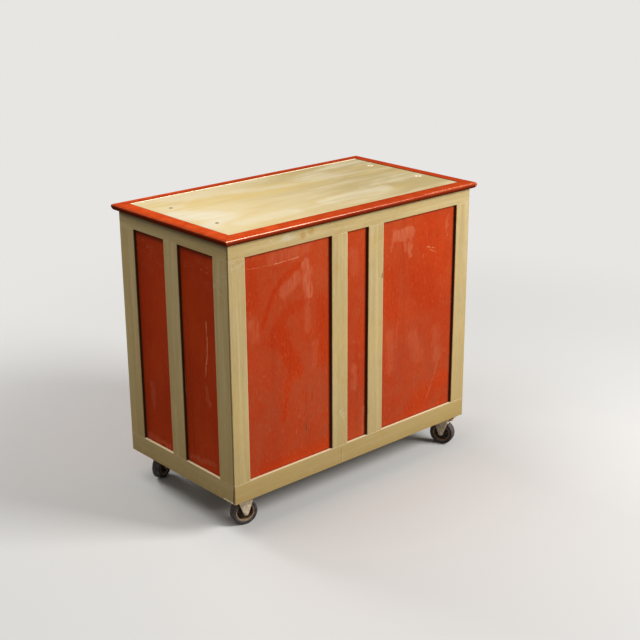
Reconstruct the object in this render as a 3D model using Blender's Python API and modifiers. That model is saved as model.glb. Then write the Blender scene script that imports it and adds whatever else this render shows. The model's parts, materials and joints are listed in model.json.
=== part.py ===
"""Parts drawer cabinet: a painted wooden case of nine drawers on four swivel casters.

Metres, +Z up, floor at z = 0. The drawers open towards -Y and the length runs along X.
Left and right are those of a person who stands in front of the drawers.
"""

import math

import bmesh
import bpy
from mathutils import Matrix

# Fits
FIT_GAP = 0.0003
PIVOT_CLEARANCE = 0.0004
CUT_MARGIN = 0.004
JOIN_OVERLAP = 0.001

# Mesh work
WELD_DISTANCE = 0.00001
FLAT_ANGLE = math.radians(1)
SMOOTH_ANGLE = math.radians(35)
BEVEL_ANGLE = math.radians(40)

# Case boards
BODY_LENGTH = 0.983
BODY_DEPTH = 0.531
BODY_HEIGHT = 0.7897
BOARD_THICKNESS = 0.018

# Top with its mitred edging
TOP_OVERHANG = 0.0165
TOP_THICKNESS = 0.020
EDGING_WIDTH = 0.043
EDGING_STEP = 0.001
NOSE_DEPTH = 0.010
NOSE_DROP = 0.006
NOSE_SEGMENTS = 5

# Frame applied over the boards
FRAME_THICKNESS = 0.0095
TOP_RAIL_HEIGHT = 0.045
BOTTOM_RAIL_HEIGHT = 0.061
BACK_CORNER_STILE = 0.059
BACK_MID_STILE = 0.0625
BACK_NARROW_OPENING = 0.087
END_CORNER_STILE = 0.071
END_MID_STILE = 0.0665
END_MID_STILE_SHIFT = -0.0068
ARRIS = 0.0008

# Drawer grid
NARROW_COLUMN = 0.210
ROW_STEP = 0.048
ROWS = ("top", "middle", "bottom")

# Drawers
DRAWER_SET_BACK = 0.004
DRAWER_REVEAL = 0.002
DRAWER_FRONT_THICKNESS = 0.018
DRAWER_WALL = 0.012
DRAWER_BOTTOM = 0.006
DRAWER_BOTTOM_LIFT = 0.006
DRAWER_SIDE_CLEARANCE = 0.003
DRAWER_TOP_CLEARANCE = 0.015
DRAWER_BACK_CLEARANCE = 0.025
DRAWER_ARRIS = 0.0015

# Cup pulls
PULL_WIDTH = 0.096
PULL_HEIGHT = 0.036
PULL_PROJECTION = 0.0195
PULL_WALL = 0.0018
PULL_FLANGE = 0.007
PULL_FLANGE_THICKNESS = 0.0016
PULL_SEGMENTS = 16
PULL_RINGS = 8

# Caster wheels
WHEEL_RADIUS = 0.041
WHEEL_WIDTH = 0.028
WHEEL_SEGMENTS = 24
TREAD_SHOULDER = 0.004
TYRE_DEPTH = 0.010
RIM_STEP = 0.0015
WEB_WIDTH = 0.010
HUB_RADIUS = 0.012
HUB_SIDE_PLAY = 0.0008
AXLE_RADIUS = 0.005
AXLE_HEAD_RADIUS = 0.0075
AXLE_HEAD_HEIGHT = 0.003

# Caster forks and plates
CASTER_TRAIL = 0.018
FORK_SIDE_GAP = 0.0025
FORK_THICKNESS = 0.0035
FORK_EYE_RADIUS = 0.0095
CROWN_CLEARANCE = 0.004
CROWN_THICKNESS = 0.004
CROWN_REACH = 0.012
LEG_HALF_WIDTH = 0.025
RACE_RADIUS = 0.024
LOWER_RACE_HEIGHT = 0.005
UPPER_RACE_HEIGHT = 0.0054
KINGPIN_RADIUS = 0.006
PLATE_LENGTH = 0.096
PLATE_WIDTH = 0.076
PLATE_THICKNESS = 0.003
PLATE_CORNER = 0.008
PLATE_HOLE_RADIUS = 0.004
PLATE_HOLE_INSET = 0.011
ROUND_SEGMENTS = 16
KINGPIN_INSET_X = 0.056
KINGPIN_INSET_Y = 0.060

# Brake pedals of the two casters at the back
BRAKED = ("back_left", "back_right")
PEDAL_PIVOT_AHEAD = 0.019
PEDAL_PIVOT_RISE = 0.002
PEDAL_PIN_RADIUS = 0.0025
PEDAL_BARREL_RADIUS = 0.004
PEDAL_SIDE_PLAY = 0.0006
PEDAL_LENGTH = 0.027
PEDAL_THICKNESS = 0.003
PEDAL_RISE = math.radians(30)
PEDAL_HOLE_RADIUS = 0.003
PEDAL_HOLE_INSET = 0.007
SHOE_LENGTH = 0.0075
SHOE_DROP = math.radians(50)

# Way each caster trails at rest, in degrees from +X
CASTER_REST = {
    "front_left": 150.0,
    "front_right": 205.0,
    "back_left": 113.0,
    "back_right": 166.0,
}

# Levels above the floor, stacked up through a caster
CROWN_LOW = 2 * WHEEL_RADIUS + CROWN_CLEARANCE
CROWN_HIGH = CROWN_LOW + CROWN_THICKNESS
RACE_SEAM = CROWN_HIGH + LOWER_RACE_HEIGHT
PLATE_LOW = RACE_SEAM + FIT_GAP + UPPER_RACE_HEIGHT
PLATE_HIGH = PLATE_LOW + PLATE_THICKNESS
BASE = PLATE_HIGH + FIT_GAP
BODY_TOP = BASE + BODY_HEIGHT
TOP_LOW = BODY_TOP + FIT_GAP
TOP_HIGH = TOP_LOW + TOP_THICKNESS
TOP_RAIL_LOW = BODY_TOP - TOP_RAIL_HEIGHT
BOTTOM_RAIL_HIGH = BASE + BOTTOM_RAIL_HEIGHT
FLOOR = BASE + BOARD_THICKNESS

# Planes of the case
HALF_LENGTH = BODY_LENGTH / 2
HALF_DEPTH = BODY_DEPTH / 2
FRONT = -HALF_DEPTH
FRAME_IN_X = HALF_LENGTH - FRAME_THICKNESS
FRAME_IN_Y = HALF_DEPTH - FRAME_THICKNESS
END_OUT = FRAME_IN_X - FIT_GAP
END_IN = END_OUT - BOARD_THICKNESS
BACK_OUT = FRAME_IN_Y - FIT_GAP
BACK_IN = BACK_OUT - BOARD_THICKNESS
INNER_X = END_IN - FIT_GAP
INNER_BACK = BACK_IN - FIT_GAP
MITRE_GAP = FIT_GAP * math.sqrt(2)


def clear_scene():
    for obj in list(bpy.data.objects):
        bpy.data.objects.remove(obj, do_unlink=True)


def new_collection(name):
    collection = bpy.data.collections.new(name)
    bpy.context.scene.collection.children.link(collection)
    return collection


def new_material(name, colour, roughness, metallic):
    material = bpy.data.materials.new(name)
    material.use_nodes = True
    shader = material.node_tree.nodes["Principled BSDF"]
    shader.inputs["Base Color"].default_value = (*colour, 1.0)
    shader.inputs["Roughness"].default_value = roughness
    shader.inputs["Metallic"].default_value = metallic
    material.diffuse_color = (*colour, 1.0)
    return material


clear_scene()
PARTS = new_collection("parts_drawer_cabinet")
CUTTERS = new_collection("cutters")

CREAM = new_material("cream_paint", (0.58, 0.47, 0.24), 0.55, 0.0)
RED = new_material("red_paint", (0.50, 0.06, 0.02), 0.5, 0.0)
EDGING_RED = new_material("edging_paint", (0.62, 0.10, 0.03), 0.35, 0.0)
PULL_STEEL = new_material("pull_steel", (0.30, 0.29, 0.27), 0.45, 0.9)
CASTER_STEEL = new_material("caster_steel", (0.48, 0.45, 0.40), 0.5, 0.8)
RUBBER = new_material("wheel_rubber", (0.03, 0.032, 0.036), 0.6, 0.0)


def add_part(name, mesh, material, at=(0, 0, 0), turn=0.0):
    """One node of the object, standing at a point and turned about the upright axis."""
    obj = bpy.data.objects.new(name, mesh)
    obj.location = at
    obj.rotation_euler.z = turn
    mesh.materials.append(material)
    PARTS.objects.link(obj)
    return obj


def add_helper(name, mesh, owner):
    """A shape that only a Boolean of its owner uses, placed in the owner's own axes."""
    obj = bpy.data.objects.new(name, mesh)
    obj.matrix_world = owner.matrix_basis
    obj.hide_render = True
    obj.display_type = "WIRE"
    CUTTERS.objects.link(obj)
    return obj


def boolean(obj, operation, mesh):
    """Cut, join or trim a node with a mesh that is drawn in the node's own axes."""
    count = len(obj.modifiers) + 1
    helper = add_helper(f"{obj.name}.{operation.lower()}{count}", mesh, obj)
    modifier = obj.modifiers.new(f"{operation.lower()}{count}", "BOOLEAN")
    modifier.operation = operation
    modifier.solver = "EXACT"
    modifier.object = helper


def bevel(obj, width):
    modifier = obj.modifiers.new("arris", "BEVEL")
    modifier.width = width
    modifier.segments = 1
    modifier.limit_method = "ANGLE"
    modifier.angle_limit = BEVEL_ANGLE


def mesh_from(bm, name):
    mesh = bpy.data.meshes.new(name)
    bm.to_mesh(mesh)
    bm.free()
    return mesh


def smooth(mesh):
    mesh.polygons.foreach_set("use_smooth", [True] * len(mesh.polygons))
    mesh.set_sharp_from_angle(angle=SMOOTH_ANGLE)
    return mesh


def box_mesh(name, x, y, z):
    """A block from the low and high end of each side."""
    bm = bmesh.new()
    bmesh.ops.create_cube(bm, size=1.0)
    size = Matrix.Diagonal((x[1] - x[0], y[1] - y[0], z[1] - z[0], 1.0))
    centre = Matrix.Translation(((x[0] + x[1]) / 2, (y[0] + y[1]) / 2, (z[0] + z[1]) / 2))
    bm.transform(centre @ size)
    return mesh_from(bm, name)


def cylinder_mesh(name, radius, low, high, axis="Z", at=(0.0, 0.0, 0.0)):
    bm = bmesh.new()
    bmesh.ops.create_cone(
        bm,
        cap_ends=True,
        segments=ROUND_SEGMENTS,
        radius1=radius,
        radius2=radius,
        depth=high - low,
    )
    bm.transform(Matrix.Translation((0.0, 0.0, (low + high) / 2)))
    if axis == "Y":
        bm.transform(Matrix.Rotation(-math.pi / 2, 4, "X"))
    bm.transform(Matrix.Translation(at))
    return smooth(mesh_from(bm, name))


def outline_mesh(name, points, low, high):
    """A flat outline drawn in X and Y, raised from one level to another."""
    curve = bpy.data.curves.new(name, "CURVE")
    curve.dimensions = "2D"
    curve.fill_mode = "BOTH"
    curve.extrude = (high - low) / 2
    spline = curve.splines.new("POLY")
    spline.points.add(len(points) - 1)
    for point, (x, y) in zip(spline.points, points):
        point.co = (x, y, 0.0, 1.0)
    spline.use_cyclic_u = True
    drawn = bpy.data.objects.new(name, curve)
    bpy.context.scene.collection.objects.link(drawn)
    graph = bpy.context.evaluated_depsgraph_get()
    mesh = bpy.data.meshes.new_from_object(drawn.evaluated_get(graph))
    bpy.data.objects.remove(drawn, do_unlink=True)
    bpy.data.curves.remove(curve)
    bm = bmesh.new()
    bm.from_mesh(mesh)
    bpy.data.meshes.remove(mesh)
    bmesh.ops.remove_doubles(bm, verts=bm.verts, dist=WELD_DISTANCE)
    bmesh.ops.dissolve_limit(bm, angle_limit=FLAT_ANGLE, verts=bm.verts, edges=bm.edges)
    bmesh.ops.recalc_face_normals(bm, faces=bm.faces)
    bm.transform(Matrix.Translation((0.0, 0.0, (low + high) / 2)))
    return mesh_from(bm, name)


def turned_mesh(name, profile):
    """A closed profile of radius and height, drawn at +X for a Screw to turn about Z."""
    bm = bmesh.new()
    points = [bm.verts.new((radius, 0.0, height)) for radius, height in profile]
    for first, second in zip(points, points[1:] + points[:1]):
        bm.edges.new((first, second))
    return mesh_from(bm, name)


def block(name, material, x, y, z, arris=ARRIS):
    """A plain board whose origin is its own middle."""
    middle = [(low + high) / 2 for low, high in (x, y, z)]
    sides = [(low - centre, high - centre) for (low, high), centre in zip((x, y, z), middle)]
    obj = add_part(name, box_mesh(name, *sides), material, at=middle)
    bevel(obj, arris)
    return obj


def mirrored(side, low, high):
    """The span on the left or the right of the middle."""
    return (low, high) if side == "right" else (-high, -low)


def mirrored_points(side, points):
    return points if side == "right" else [(-x, y) for x, y in reversed(points)]


# Case boards
CASE_Z = (BASE, BODY_TOP)

for side in ("left", "right"):
    block(f"end_board_{side}", RED, mirrored(side, END_IN, END_OUT), (FRONT, BACK_OUT), CASE_Z)
block("back_board", RED, (-INNER_X, INNER_X), (BACK_IN, BACK_OUT), CASE_Z)
block("bottom_board", CREAM, (-INNER_X, INNER_X), (FRONT, INNER_BACK), (BASE, FLOOR))

# Rails, which run through to the corners
RAILS = {
    "top": (TOP_RAIL_LOW, BODY_TOP),
    "bottom": (BASE, BOTTOM_RAIL_HIGH),
}
BACK_RAIL = [
    (-HALF_LENGTH, HALF_DEPTH),
    (-FRAME_IN_X, FRAME_IN_Y),
    (FRAME_IN_X, FRAME_IN_Y),
    (HALF_LENGTH, HALF_DEPTH),
]
END_RAIL = [
    (FRAME_IN_X, FRONT),
    (HALF_LENGTH, FRONT),
    (HALF_LENGTH, HALF_DEPTH - MITRE_GAP),
    (FRAME_IN_X, FRAME_IN_Y - MITRE_GAP),
]
for level, span in RAILS.items():
    rail = add_part(f"back_{level}_rail", outline_mesh("rail", BACK_RAIL, *span), CREAM)
    bevel(rail, ARRIS)
    for side in ("left", "right"):
        plan = mirrored_points(side, END_RAIL)
        rail = add_part(f"{side}_{level}_rail", outline_mesh("rail", plan, *span), CREAM)
        bevel(rail, ARRIS)
block("front_rail", CREAM, (-INNER_X, INNER_X), (FRONT, FRONT + BOARD_THICKNESS), RAILS["top"])

# Stiles, which stand between the rails
STILE_Z = (BOTTOM_RAIL_HIGH + FIT_GAP, TOP_RAIL_LOW - FIT_GAP)
BACK_POST = [
    (HALF_LENGTH, HALF_DEPTH),
    (HALF_LENGTH - BACK_CORNER_STILE, HALF_DEPTH),
    (HALF_LENGTH - BACK_CORNER_STILE, FRAME_IN_Y),
    (FRAME_IN_X, FRAME_IN_Y),
    (FRAME_IN_X, HALF_DEPTH - END_CORNER_STILE),
    (HALF_LENGTH, HALF_DEPTH - END_CORNER_STILE),
]
NARROW_EDGE = BACK_NARROW_OPENING / 2
for side in ("left", "right"):
    plan = mirrored_points(side, BACK_POST)
    post = add_part(f"back_post_{side}", outline_mesh("post", plan, *STILE_Z), CREAM)
    bevel(post, ARRIS)
    face = mirrored(side, FRAME_IN_X, HALF_LENGTH)
    block(f"front_stile_{side}", CREAM, face, (FRONT, FRONT + END_CORNER_STILE), STILE_Z)
    low = END_MID_STILE_SHIFT - END_MID_STILE / 2
    block(f"{side}_mid_stile", CREAM, face, (low, low + END_MID_STILE), STILE_Z)
    wide = mirrored(side, NARROW_EDGE, NARROW_EDGE + BACK_MID_STILE)
    block(f"back_mid_stile_{side}", CREAM, wide, (FRAME_IN_Y, HALF_DEPTH), STILE_Z)

# Top field, one step lower than the edging around it
FIELD_X = HALF_LENGTH + TOP_OVERHANG - EDGING_WIDTH - FIT_GAP
FIELD_Y = HALF_DEPTH + TOP_OVERHANG - EDGING_WIDTH - FIT_GAP
block(
    "top_field",
    CREAM,
    (-FIELD_X, FIELD_X),
    (-FIELD_Y, FIELD_Y),
    (TOP_LOW, TOP_HIGH - EDGING_STEP),
)


def nose_profile():
    """Section of the edging: outward from its inner face, and up from its underside."""
    inner = EDGING_WIDTH - NOSE_DEPTH
    lower = TOP_THICKNESS - NOSE_DROP
    points = [(0.0, 0.0), (inner, 0.0)]
    quarter = math.pi / 2
    for step in range(1, NOSE_SEGMENTS + 1):
        angle = quarter * step / NOSE_SEGMENTS
        points.append((inner + NOSE_DEPTH * math.sin(angle), lower * (1 - math.cos(angle))))
    for step in range(1, NOSE_SEGMENTS + 1):
        angle = quarter * step / NOSE_SEGMENTS
        points.append((inner + NOSE_DEPTH * math.cos(angle), lower + NOSE_DROP * math.sin(angle)))
    points.append((0.0, TOP_THICKNESS))
    return points


def edging(name, half_run, inner_face, turn, gap):
    """One length of edging, with each end sheared to a mitre."""
    mesh = outline_mesh(name, nose_profile(), -half_run, half_run)
    for vertex in mesh.vertices:
        vertex.co.z += math.copysign(1.0, vertex.co.z) * (vertex.co.x - gap)
    upright = Matrix(((0, 0, 1, 0), (1, 0, 0, inner_face), (0, 1, 0, TOP_LOW), (0, 0, 0, 1)))
    mesh.transform(upright)
    add_part(name, smooth(mesh), EDGING_RED, turn=turn)


EDGE_X = FIELD_X + FIT_GAP
EDGE_Y = FIELD_Y + FIT_GAP
edging("edging_back", EDGE_X, EDGE_Y, 0.0, 0.0)
edging("edging_front", EDGE_X, EDGE_Y, math.pi, 0.0)
edging("edging_left", EDGE_Y, EDGE_X, math.pi / 2, MITRE_GAP)
edging("edging_right", EDGE_Y, EDGE_X, -math.pi / 2, MITRE_GAP)

# Drawer grid: shelves and partitions halved over each other
PARTITION = (NARROW_COLUMN / 2, NARROW_COLUMN / 2 + BOARD_THICKNESS)
GRID_Y = (FRONT, INNER_BACK)
LAP = sum(GRID_Y) / 2
MEAN_ROW = (TOP_RAIL_LOW - FLOOR - 2 * BOARD_THICKNESS) / 3
UPPER_SHELF_TOP = TOP_RAIL_LOW - MEAN_ROW + ROW_STEP
UPPER_SHELF = (UPPER_SHELF_TOP - BOARD_THICKNESS, UPPER_SHELF_TOP)
LOWER_SHELF_TOP = UPPER_SHELF[0] - MEAN_ROW
LOWER_SHELF = (LOWER_SHELF_TOP - BOARD_THICKNESS, LOWER_SHELF_TOP)
SHELVES = {"upper": UPPER_SHELF, "lower": LOWER_SHELF}


def grown(span, by):
    return (span[0] - by, span[1] + by)


def grid_board(name, x, z, slots):
    """A board of the grid, drawn in world axes and slotted where others cross it."""
    obj = add_part(name, box_mesh(name, x, GRID_Y, z), CREAM)
    for slot in slots:
        boolean(obj, "DIFFERENCE", box_mesh("slot", *slot))


BEHIND_LAP = (LAP - FIT_GAP / 2, INNER_BACK + CUT_MARGIN)
BEFORE_LAP = (FRONT - CUT_MARGIN, LAP + FIT_GAP / 2)
for level, span in SHELVES.items():
    slots = []
    for side in ("left", "right"):
        wide = grown(mirrored(side, *PARTITION), FIT_GAP)
        slots.append((wide, BEHIND_LAP, grown(span, CUT_MARGIN)))
    grid_board(f"shelf_{level}", (-INNER_X, INNER_X), span, slots)
for side in ("left", "right"):
    wide = mirrored(side, *PARTITION)
    slots = []
    for span in SHELVES.values():
        slots.append((grown(wide, CUT_MARGIN), BEFORE_LAP, grown(span, FIT_GAP)))
    grid_board(f"partition_{side}", wide, (FLOOR + FIT_GAP, TOP_RAIL_LOW - FIT_GAP), slots)

# Cells of the grid
COLUMNS = {
    "left": (-END_IN, -PARTITION[1]),
    "centre": (-PARTITION[0], PARTITION[0]),
    "right": (PARTITION[1], END_IN),
}
LEVELS = {
    "top": (UPPER_SHELF[1], TOP_RAIL_LOW),
    "middle": (LOWER_SHELF[1], UPPER_SHELF[0]),
    "bottom": (FLOOR, LOWER_SHELF[0]),
}
DRAWER_FACE = FRONT + DRAWER_SET_BACK
FRONT_BACK = DRAWER_FACE + DRAWER_FRONT_THICKNESS
DRAWER_END = INNER_BACK - DRAWER_BACK_CLEARANCE


def drawer(name, column, level):
    """A drawer that is its front, sides, back and bottom glued up as one."""
    middle = sum(column) / 2
    half = (column[1] - column[0]) / 2
    height = level[1] - level[0]
    front_half = half - DRAWER_REVEAL
    box_half = half - DRAWER_SIDE_CLEARANCE
    inner_half = box_half - DRAWER_WALL
    back = DRAWER_END - DRAWER_FACE
    thick = DRAWER_FRONT_THICKNESS
    floor = FIT_GAP + DRAWER_BOTTOM_LIFT
    front = box_mesh(
        name,
        (-front_half, front_half),
        (0.0, thick),
        (DRAWER_REVEAL, height - DRAWER_REVEAL),
    )
    obj = add_part(name, front, RED, at=(middle, DRAWER_FACE, level[0]))
    bevel(obj, DRAWER_ARRIS)
    case = ((-box_half, box_half), (thick - JOIN_OVERLAP, back))
    boolean(obj, "UNION", box_mesh("case", *case, (FIT_GAP, height - DRAWER_TOP_CLEARANCE)))
    hollow = ((-inner_half, inner_half), (thick, back - DRAWER_WALL))
    boolean(obj, "DIFFERENCE", box_mesh("hollow", *hollow, (floor + DRAWER_BOTTOM, height)))
    boolean(obj, "DIFFERENCE", box_mesh("under", *hollow, (-CUT_MARGIN, floor)))
    return obj


def ellipsoid_mesh(name, across, out, up):
    bm = bmesh.new()
    bmesh.ops.create_uvsphere(bm, u_segments=PULL_SEGMENTS, v_segments=PULL_RINGS, radius=1.0)
    bm.transform(Matrix.Diagonal((across, out, up, 1.0)))
    return smooth(mesh_from(bm, name))


def flange_mesh(name, across, up):
    mesh = cylinder_mesh(name, 1.0, -PULL_FLANGE_THICKNESS, PULL_FLANGE_THICKNESS, axis="Y")
    mesh.transform(Matrix.Diagonal((across, 1.0, up, 1.0)))
    return mesh


def cup_pull(name, at):
    """A shell that is closed above and in front, and open below for the fingers."""
    half = PULL_WIDTH / 2
    obj = add_part(name, ellipsoid_mesh(name, half, PULL_PROJECTION, PULL_HEIGHT), PULL_STEEL, at=at)
    boolean(obj, "UNION", flange_mesh("flange", half + PULL_FLANGE, PULL_HEIGHT + PULL_FLANGE))
    inner = (half - PULL_WALL, PULL_PROJECTION - PULL_WALL, PULL_HEIGHT - PULL_WALL)
    boolean(obj, "DIFFERENCE", ellipsoid_mesh("hollow", *inner))
    wide = half + PULL_FLANGE + CUT_MARGIN
    high = PULL_HEIGHT + PULL_FLANGE + CUT_MARGIN
    kept = ((-wide, wide), (-PULL_PROJECTION - CUT_MARGIN, 0.0), (0.0, high))
    boolean(obj, "INTERSECT", box_mesh("kept", *kept))
    return obj


def carry(child, parent):
    """Let a piece ride on another without moving it now."""
    child.parent = parent
    child.matrix_parent_inverse = parent.matrix_basis.inverted()


for row in ROWS:
    for column, span in COLUMNS.items():
        level = LEVELS[row]
        carrier = drawer(f"drawer_{row}_{column}", span, level)
        lip = sum(level) / 2 - PULL_HEIGHT / 2
        pull = cup_pull(f"pull_{row}_{column}", (sum(span) / 2, DRAWER_FACE - FIT_GAP, lip))
        carry(pull, carrier)


# Casters
HALF_WHEEL = WHEEL_WIDTH / 2
LEG_IN = HALF_WHEEL + FORK_SIDE_GAP
LEG_OUT = LEG_IN + FORK_THICKNESS
HUB_HALF = LEG_IN - HUB_SIDE_PLAY
BORE_RADIUS = AXLE_RADIUS + PIVOT_CLEARANCE
CROWN_SPAN = (-RACE_RADIUS, CASTER_TRAIL + CROWN_REACH)
LEG_SPAN = (CASTER_TRAIL - LEG_HALF_WIDTH, CASTER_TRAIL + LEG_HALF_WIDTH)
PEDAL_PIVOT = (CASTER_TRAIL + PEDAL_PIVOT_AHEAD, 2 * WHEEL_RADIUS + PEDAL_PIVOT_RISE)


def caster_plate(name, at):
    """Mounting plate with the upper race and the kingpin fixed in it."""
    half_x = PLATE_WIDTH / 2
    half_y = PLATE_LENGTH / 2
    cut = PLATE_CORNER
    plan = []
    for x, y in ((half_x, half_y), (-half_x, half_y), (-half_x, -half_y), (half_x, -half_y)):
        inner_x = math.copysign(half_x - cut, x)
        inner_y = math.copysign(half_y - cut, y)
        corner = [(x, inner_y), (inner_x, y)]
        plan += corner if x * y > 0 else corner[::-1]
    obj = add_part(name, outline_mesh(name, plan, PLATE_LOW, PLATE_HIGH), CASTER_STEEL, at=at)
    sunk = PLATE_LOW + PLATE_THICKNESS / 2
    boolean(obj, "UNION", cylinder_mesh("race", RACE_RADIUS, RACE_SEAM + FIT_GAP, sunk))
    boolean(obj, "UNION", cylinder_mesh("kingpin", KINGPIN_RADIUS, CROWN_LOW, sunk))
    for x in (PLATE_HOLE_INSET - half_x, half_x - PLATE_HOLE_INSET):
        for y in (PLATE_HOLE_INSET - half_y, half_y - PLATE_HOLE_INSET):
            hole = (PLATE_LOW - CUT_MARGIN, PLATE_HIGH + CUT_MARGIN)
            boolean(obj, "DIFFERENCE", cylinder_mesh("hole", PLATE_HOLE_RADIUS, *hole, at=(x, y, 0.0)))
    return obj


def leg_mesh(name, y):
    """One tapered leg: the hull of its top edge and the eye around the axle."""
    bm = bmesh.new()
    bm.from_mesh(box_mesh(name, LEG_SPAN, y, (CROWN_LOW - JOIN_OVERLAP, CROWN_HIGH - JOIN_OVERLAP)))
    eye = cylinder_mesh(name, FORK_EYE_RADIUS, *y, axis="Y", at=(CASTER_TRAIL, 0.0, WHEEL_RADIUS))
    bm.from_mesh(eye)
    bmesh.ops.delete(bm, geom=bm.edges[:], context="EDGES_FACES")
    hull = bmesh.ops.convex_hull(bm, input=bm.verts)
    spare = [item for item in hull["geom_interior"] if isinstance(item, bmesh.types.BMVert)]
    bmesh.ops.delete(bm, geom=spare, context="VERTS")
    bmesh.ops.dissolve_limit(bm, angle_limit=FLAT_ANGLE, verts=bm.verts, edges=bm.edges)
    return smooth(mesh_from(bm, name))


def caster_fork(name, at, turn, braked):
    """Swivelling fork with the lower race and the riveted axle, origin on the kingpin."""
    half_crown = LEG_OUT - JOIN_OVERLAP
    crown = box_mesh(name, CROWN_SPAN, (-half_crown, half_crown), (CROWN_LOW, CROWN_HIGH))
    obj = add_part(name, crown, CASTER_STEEL, at=at, turn=turn)
    race = cylinder_mesh("race", RACE_RADIUS, CROWN_HIGH - CROWN_THICKNESS / 2, RACE_SEAM)
    boolean(obj, "UNION", race)
    boolean(obj, "UNION", leg_mesh("leg", (LEG_IN, LEG_OUT)))
    boolean(obj, "UNION", leg_mesh("leg", (-LEG_OUT, -LEG_IN)))
    axle_at = (CASTER_TRAIL, 0.0, WHEEL_RADIUS)
    reach = LEG_OUT + AXLE_HEAD_HEIGHT
    sunk = LEG_OUT - JOIN_OVERLAP
    for span in ((sunk, reach), (-reach, -sunk)):
        boolean(obj, "UNION", cylinder_mesh("head", AXLE_HEAD_RADIUS, *span, axis="Y", at=axle_at))
    axle_end = LEG_OUT + AXLE_HEAD_HEIGHT / 2
    boolean(obj, "UNION", cylinder_mesh("axle", AXLE_RADIUS, -axle_end, axle_end, axis="Y", at=axle_at))
    hole = (CROWN_LOW - CUT_MARGIN, RACE_SEAM + CUT_MARGIN)
    boolean(obj, "DIFFERENCE", cylinder_mesh("pivot", KINGPIN_RADIUS + PIVOT_CLEARANCE, *hole))
    if braked:
        through = (-LEG_OUT - CUT_MARGIN, LEG_OUT + CUT_MARGIN)
        pin_at = (PEDAL_PIVOT[0], 0.0, PEDAL_PIVOT[1])
        wide = PEDAL_PIN_RADIUS + PIVOT_CLEARANCE
        boolean(obj, "DIFFERENCE", cylinder_mesh("pin", wide, *through, axis="Y", at=pin_at))
    return obj


def strap_mesh(name, length, angle, half_width):
    """A flat strip that runs from the pedal's pivot at an angle above the level."""
    half = PEDAL_THICKNESS / 2
    mesh = box_mesh(name, (0.0, length), (-half_width, half_width), (-half, half))
    mesh.transform(Matrix.Rotation(-angle, 4, "Y"))
    return mesh


def brake_pedal(name, at, turn):
    """Pedal, shoe and barrel of a wheel brake, origin on its pivot in the fork."""
    half_width = LEG_IN - PEDAL_SIDE_PLAY
    barrel = cylinder_mesh(name, PEDAL_BARREL_RADIUS, -half_width, half_width, axis="Y")
    obj = add_part(name, barrel, CASTER_STEEL, at=at, turn=turn)
    strap_half = half_width - PEDAL_SIDE_PLAY
    boolean(obj, "UNION", strap_mesh("strap", PEDAL_LENGTH, PEDAL_RISE, strap_half))
    boolean(obj, "UNION", strap_mesh("shoe", SHOE_LENGTH, -SHOE_DROP, strap_half))
    boolean(obj, "UNION", cylinder_mesh("pin", PEDAL_PIN_RADIUS, -LEG_OUT, LEG_OUT, axis="Y"))
    hole = cylinder_mesh("hole", PEDAL_HOLE_RADIUS, -CUT_MARGIN, CUT_MARGIN)
    hole.transform(Matrix.Translation((PEDAL_LENGTH - PEDAL_HOLE_INSET, 0.0, 0.0)))
    hole.transform(Matrix.Rotation(-PEDAL_RISE, 4, "Y"))
    boolean(obj, "DIFFERENCE", hole)
    return obj


def wheel_profile():
    """Half section of hub, web, rim and tyre, closed along the bore."""
    flat = math.cos(math.pi / WHEEL_SEGMENTS)
    tread = WHEEL_RADIUS / flat
    bore = BORE_RADIUS / flat
    rim = WHEEL_RADIUS - TYRE_DEPTH
    half_web = WEB_WIDTH / 2
    upper = [
        (bore, HUB_HALF),
        (HUB_RADIUS, HUB_HALF),
        (HUB_RADIUS, half_web),
        (rim - TREAD_SHOULDER, half_web),
        (rim - TREAD_SHOULDER, HALF_WHEEL - RIM_STEP),
        (rim, HALF_WHEEL - RIM_STEP),
        (rim, HALF_WHEEL),
        (tread - TREAD_SHOULDER, HALF_WHEEL),
        (tread, HALF_WHEEL - TREAD_SHOULDER),
    ]
    return upper + [(radius, -height) for radius, height in reversed(upper)]


def caster_wheel(name, at, turn):
    """Wheel with its origin on the axle and one flat of its tread turned to the floor."""
    obj = add_part(name, turned_mesh(name, wheel_profile()), RUBBER, at=at)
    lean = Matrix.Rotation(turn, 3, "Z") @ Matrix.Rotation(math.pi / 2, 3, "X")
    obj.rotation_euler = (lean @ Matrix.Rotation(math.pi / WHEEL_SEGMENTS, 3, "Z")).to_euler()
    screw = obj.modifiers.new("turn", "SCREW")
    screw.steps = WHEEL_SEGMENTS
    screw.render_steps = WHEEL_SEGMENTS
    screw.use_merge_vertices = True
    screw.merge_threshold = WELD_DISTANCE
    screw.use_smooth_shade = True
    obj.modifiers.new("shading", "WEIGHTED_NORMAL")
    return obj


for corner, degrees in CASTER_REST.items():
    end, side = corner.split("_")
    x = math.copysign(HALF_LENGTH - KINGPIN_INSET_X, 1 if side == "right" else -1)
    y = math.copysign(HALF_DEPTH - KINGPIN_INSET_Y, 1 if end == "back" else -1)
    turn = math.radians(degrees)
    caster_plate(f"caster_plate_{corner}", (x, y, 0.0))
    fork = caster_fork(f"caster_fork_{corner}", (x, y, 0.0), turn, corner in BRAKED)
    axle_x = x + CASTER_TRAIL * math.cos(turn)
    axle_y = y + CASTER_TRAIL * math.sin(turn)
    wheel = caster_wheel(f"caster_wheel_{corner}", (axle_x, axle_y, WHEEL_RADIUS), turn)
    carry(wheel, fork)
    if corner in BRAKED:
        pivot_x = x + PEDAL_PIVOT[0] * math.cos(turn)
        pivot_y = y + PEDAL_PIVOT[0] * math.sin(turn)
        pedal = brake_pedal(f"brake_pedal_{corner}", (pivot_x, pivot_y, PEDAL_PIVOT[1]), turn)
        carry(pedal, fork)
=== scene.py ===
"""Looks of the parts drawer cabinet: painted wood, drawers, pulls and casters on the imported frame."""

import json
import math
import random

import bmesh
import bpy
from mathutils import Matrix, Vector


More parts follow.
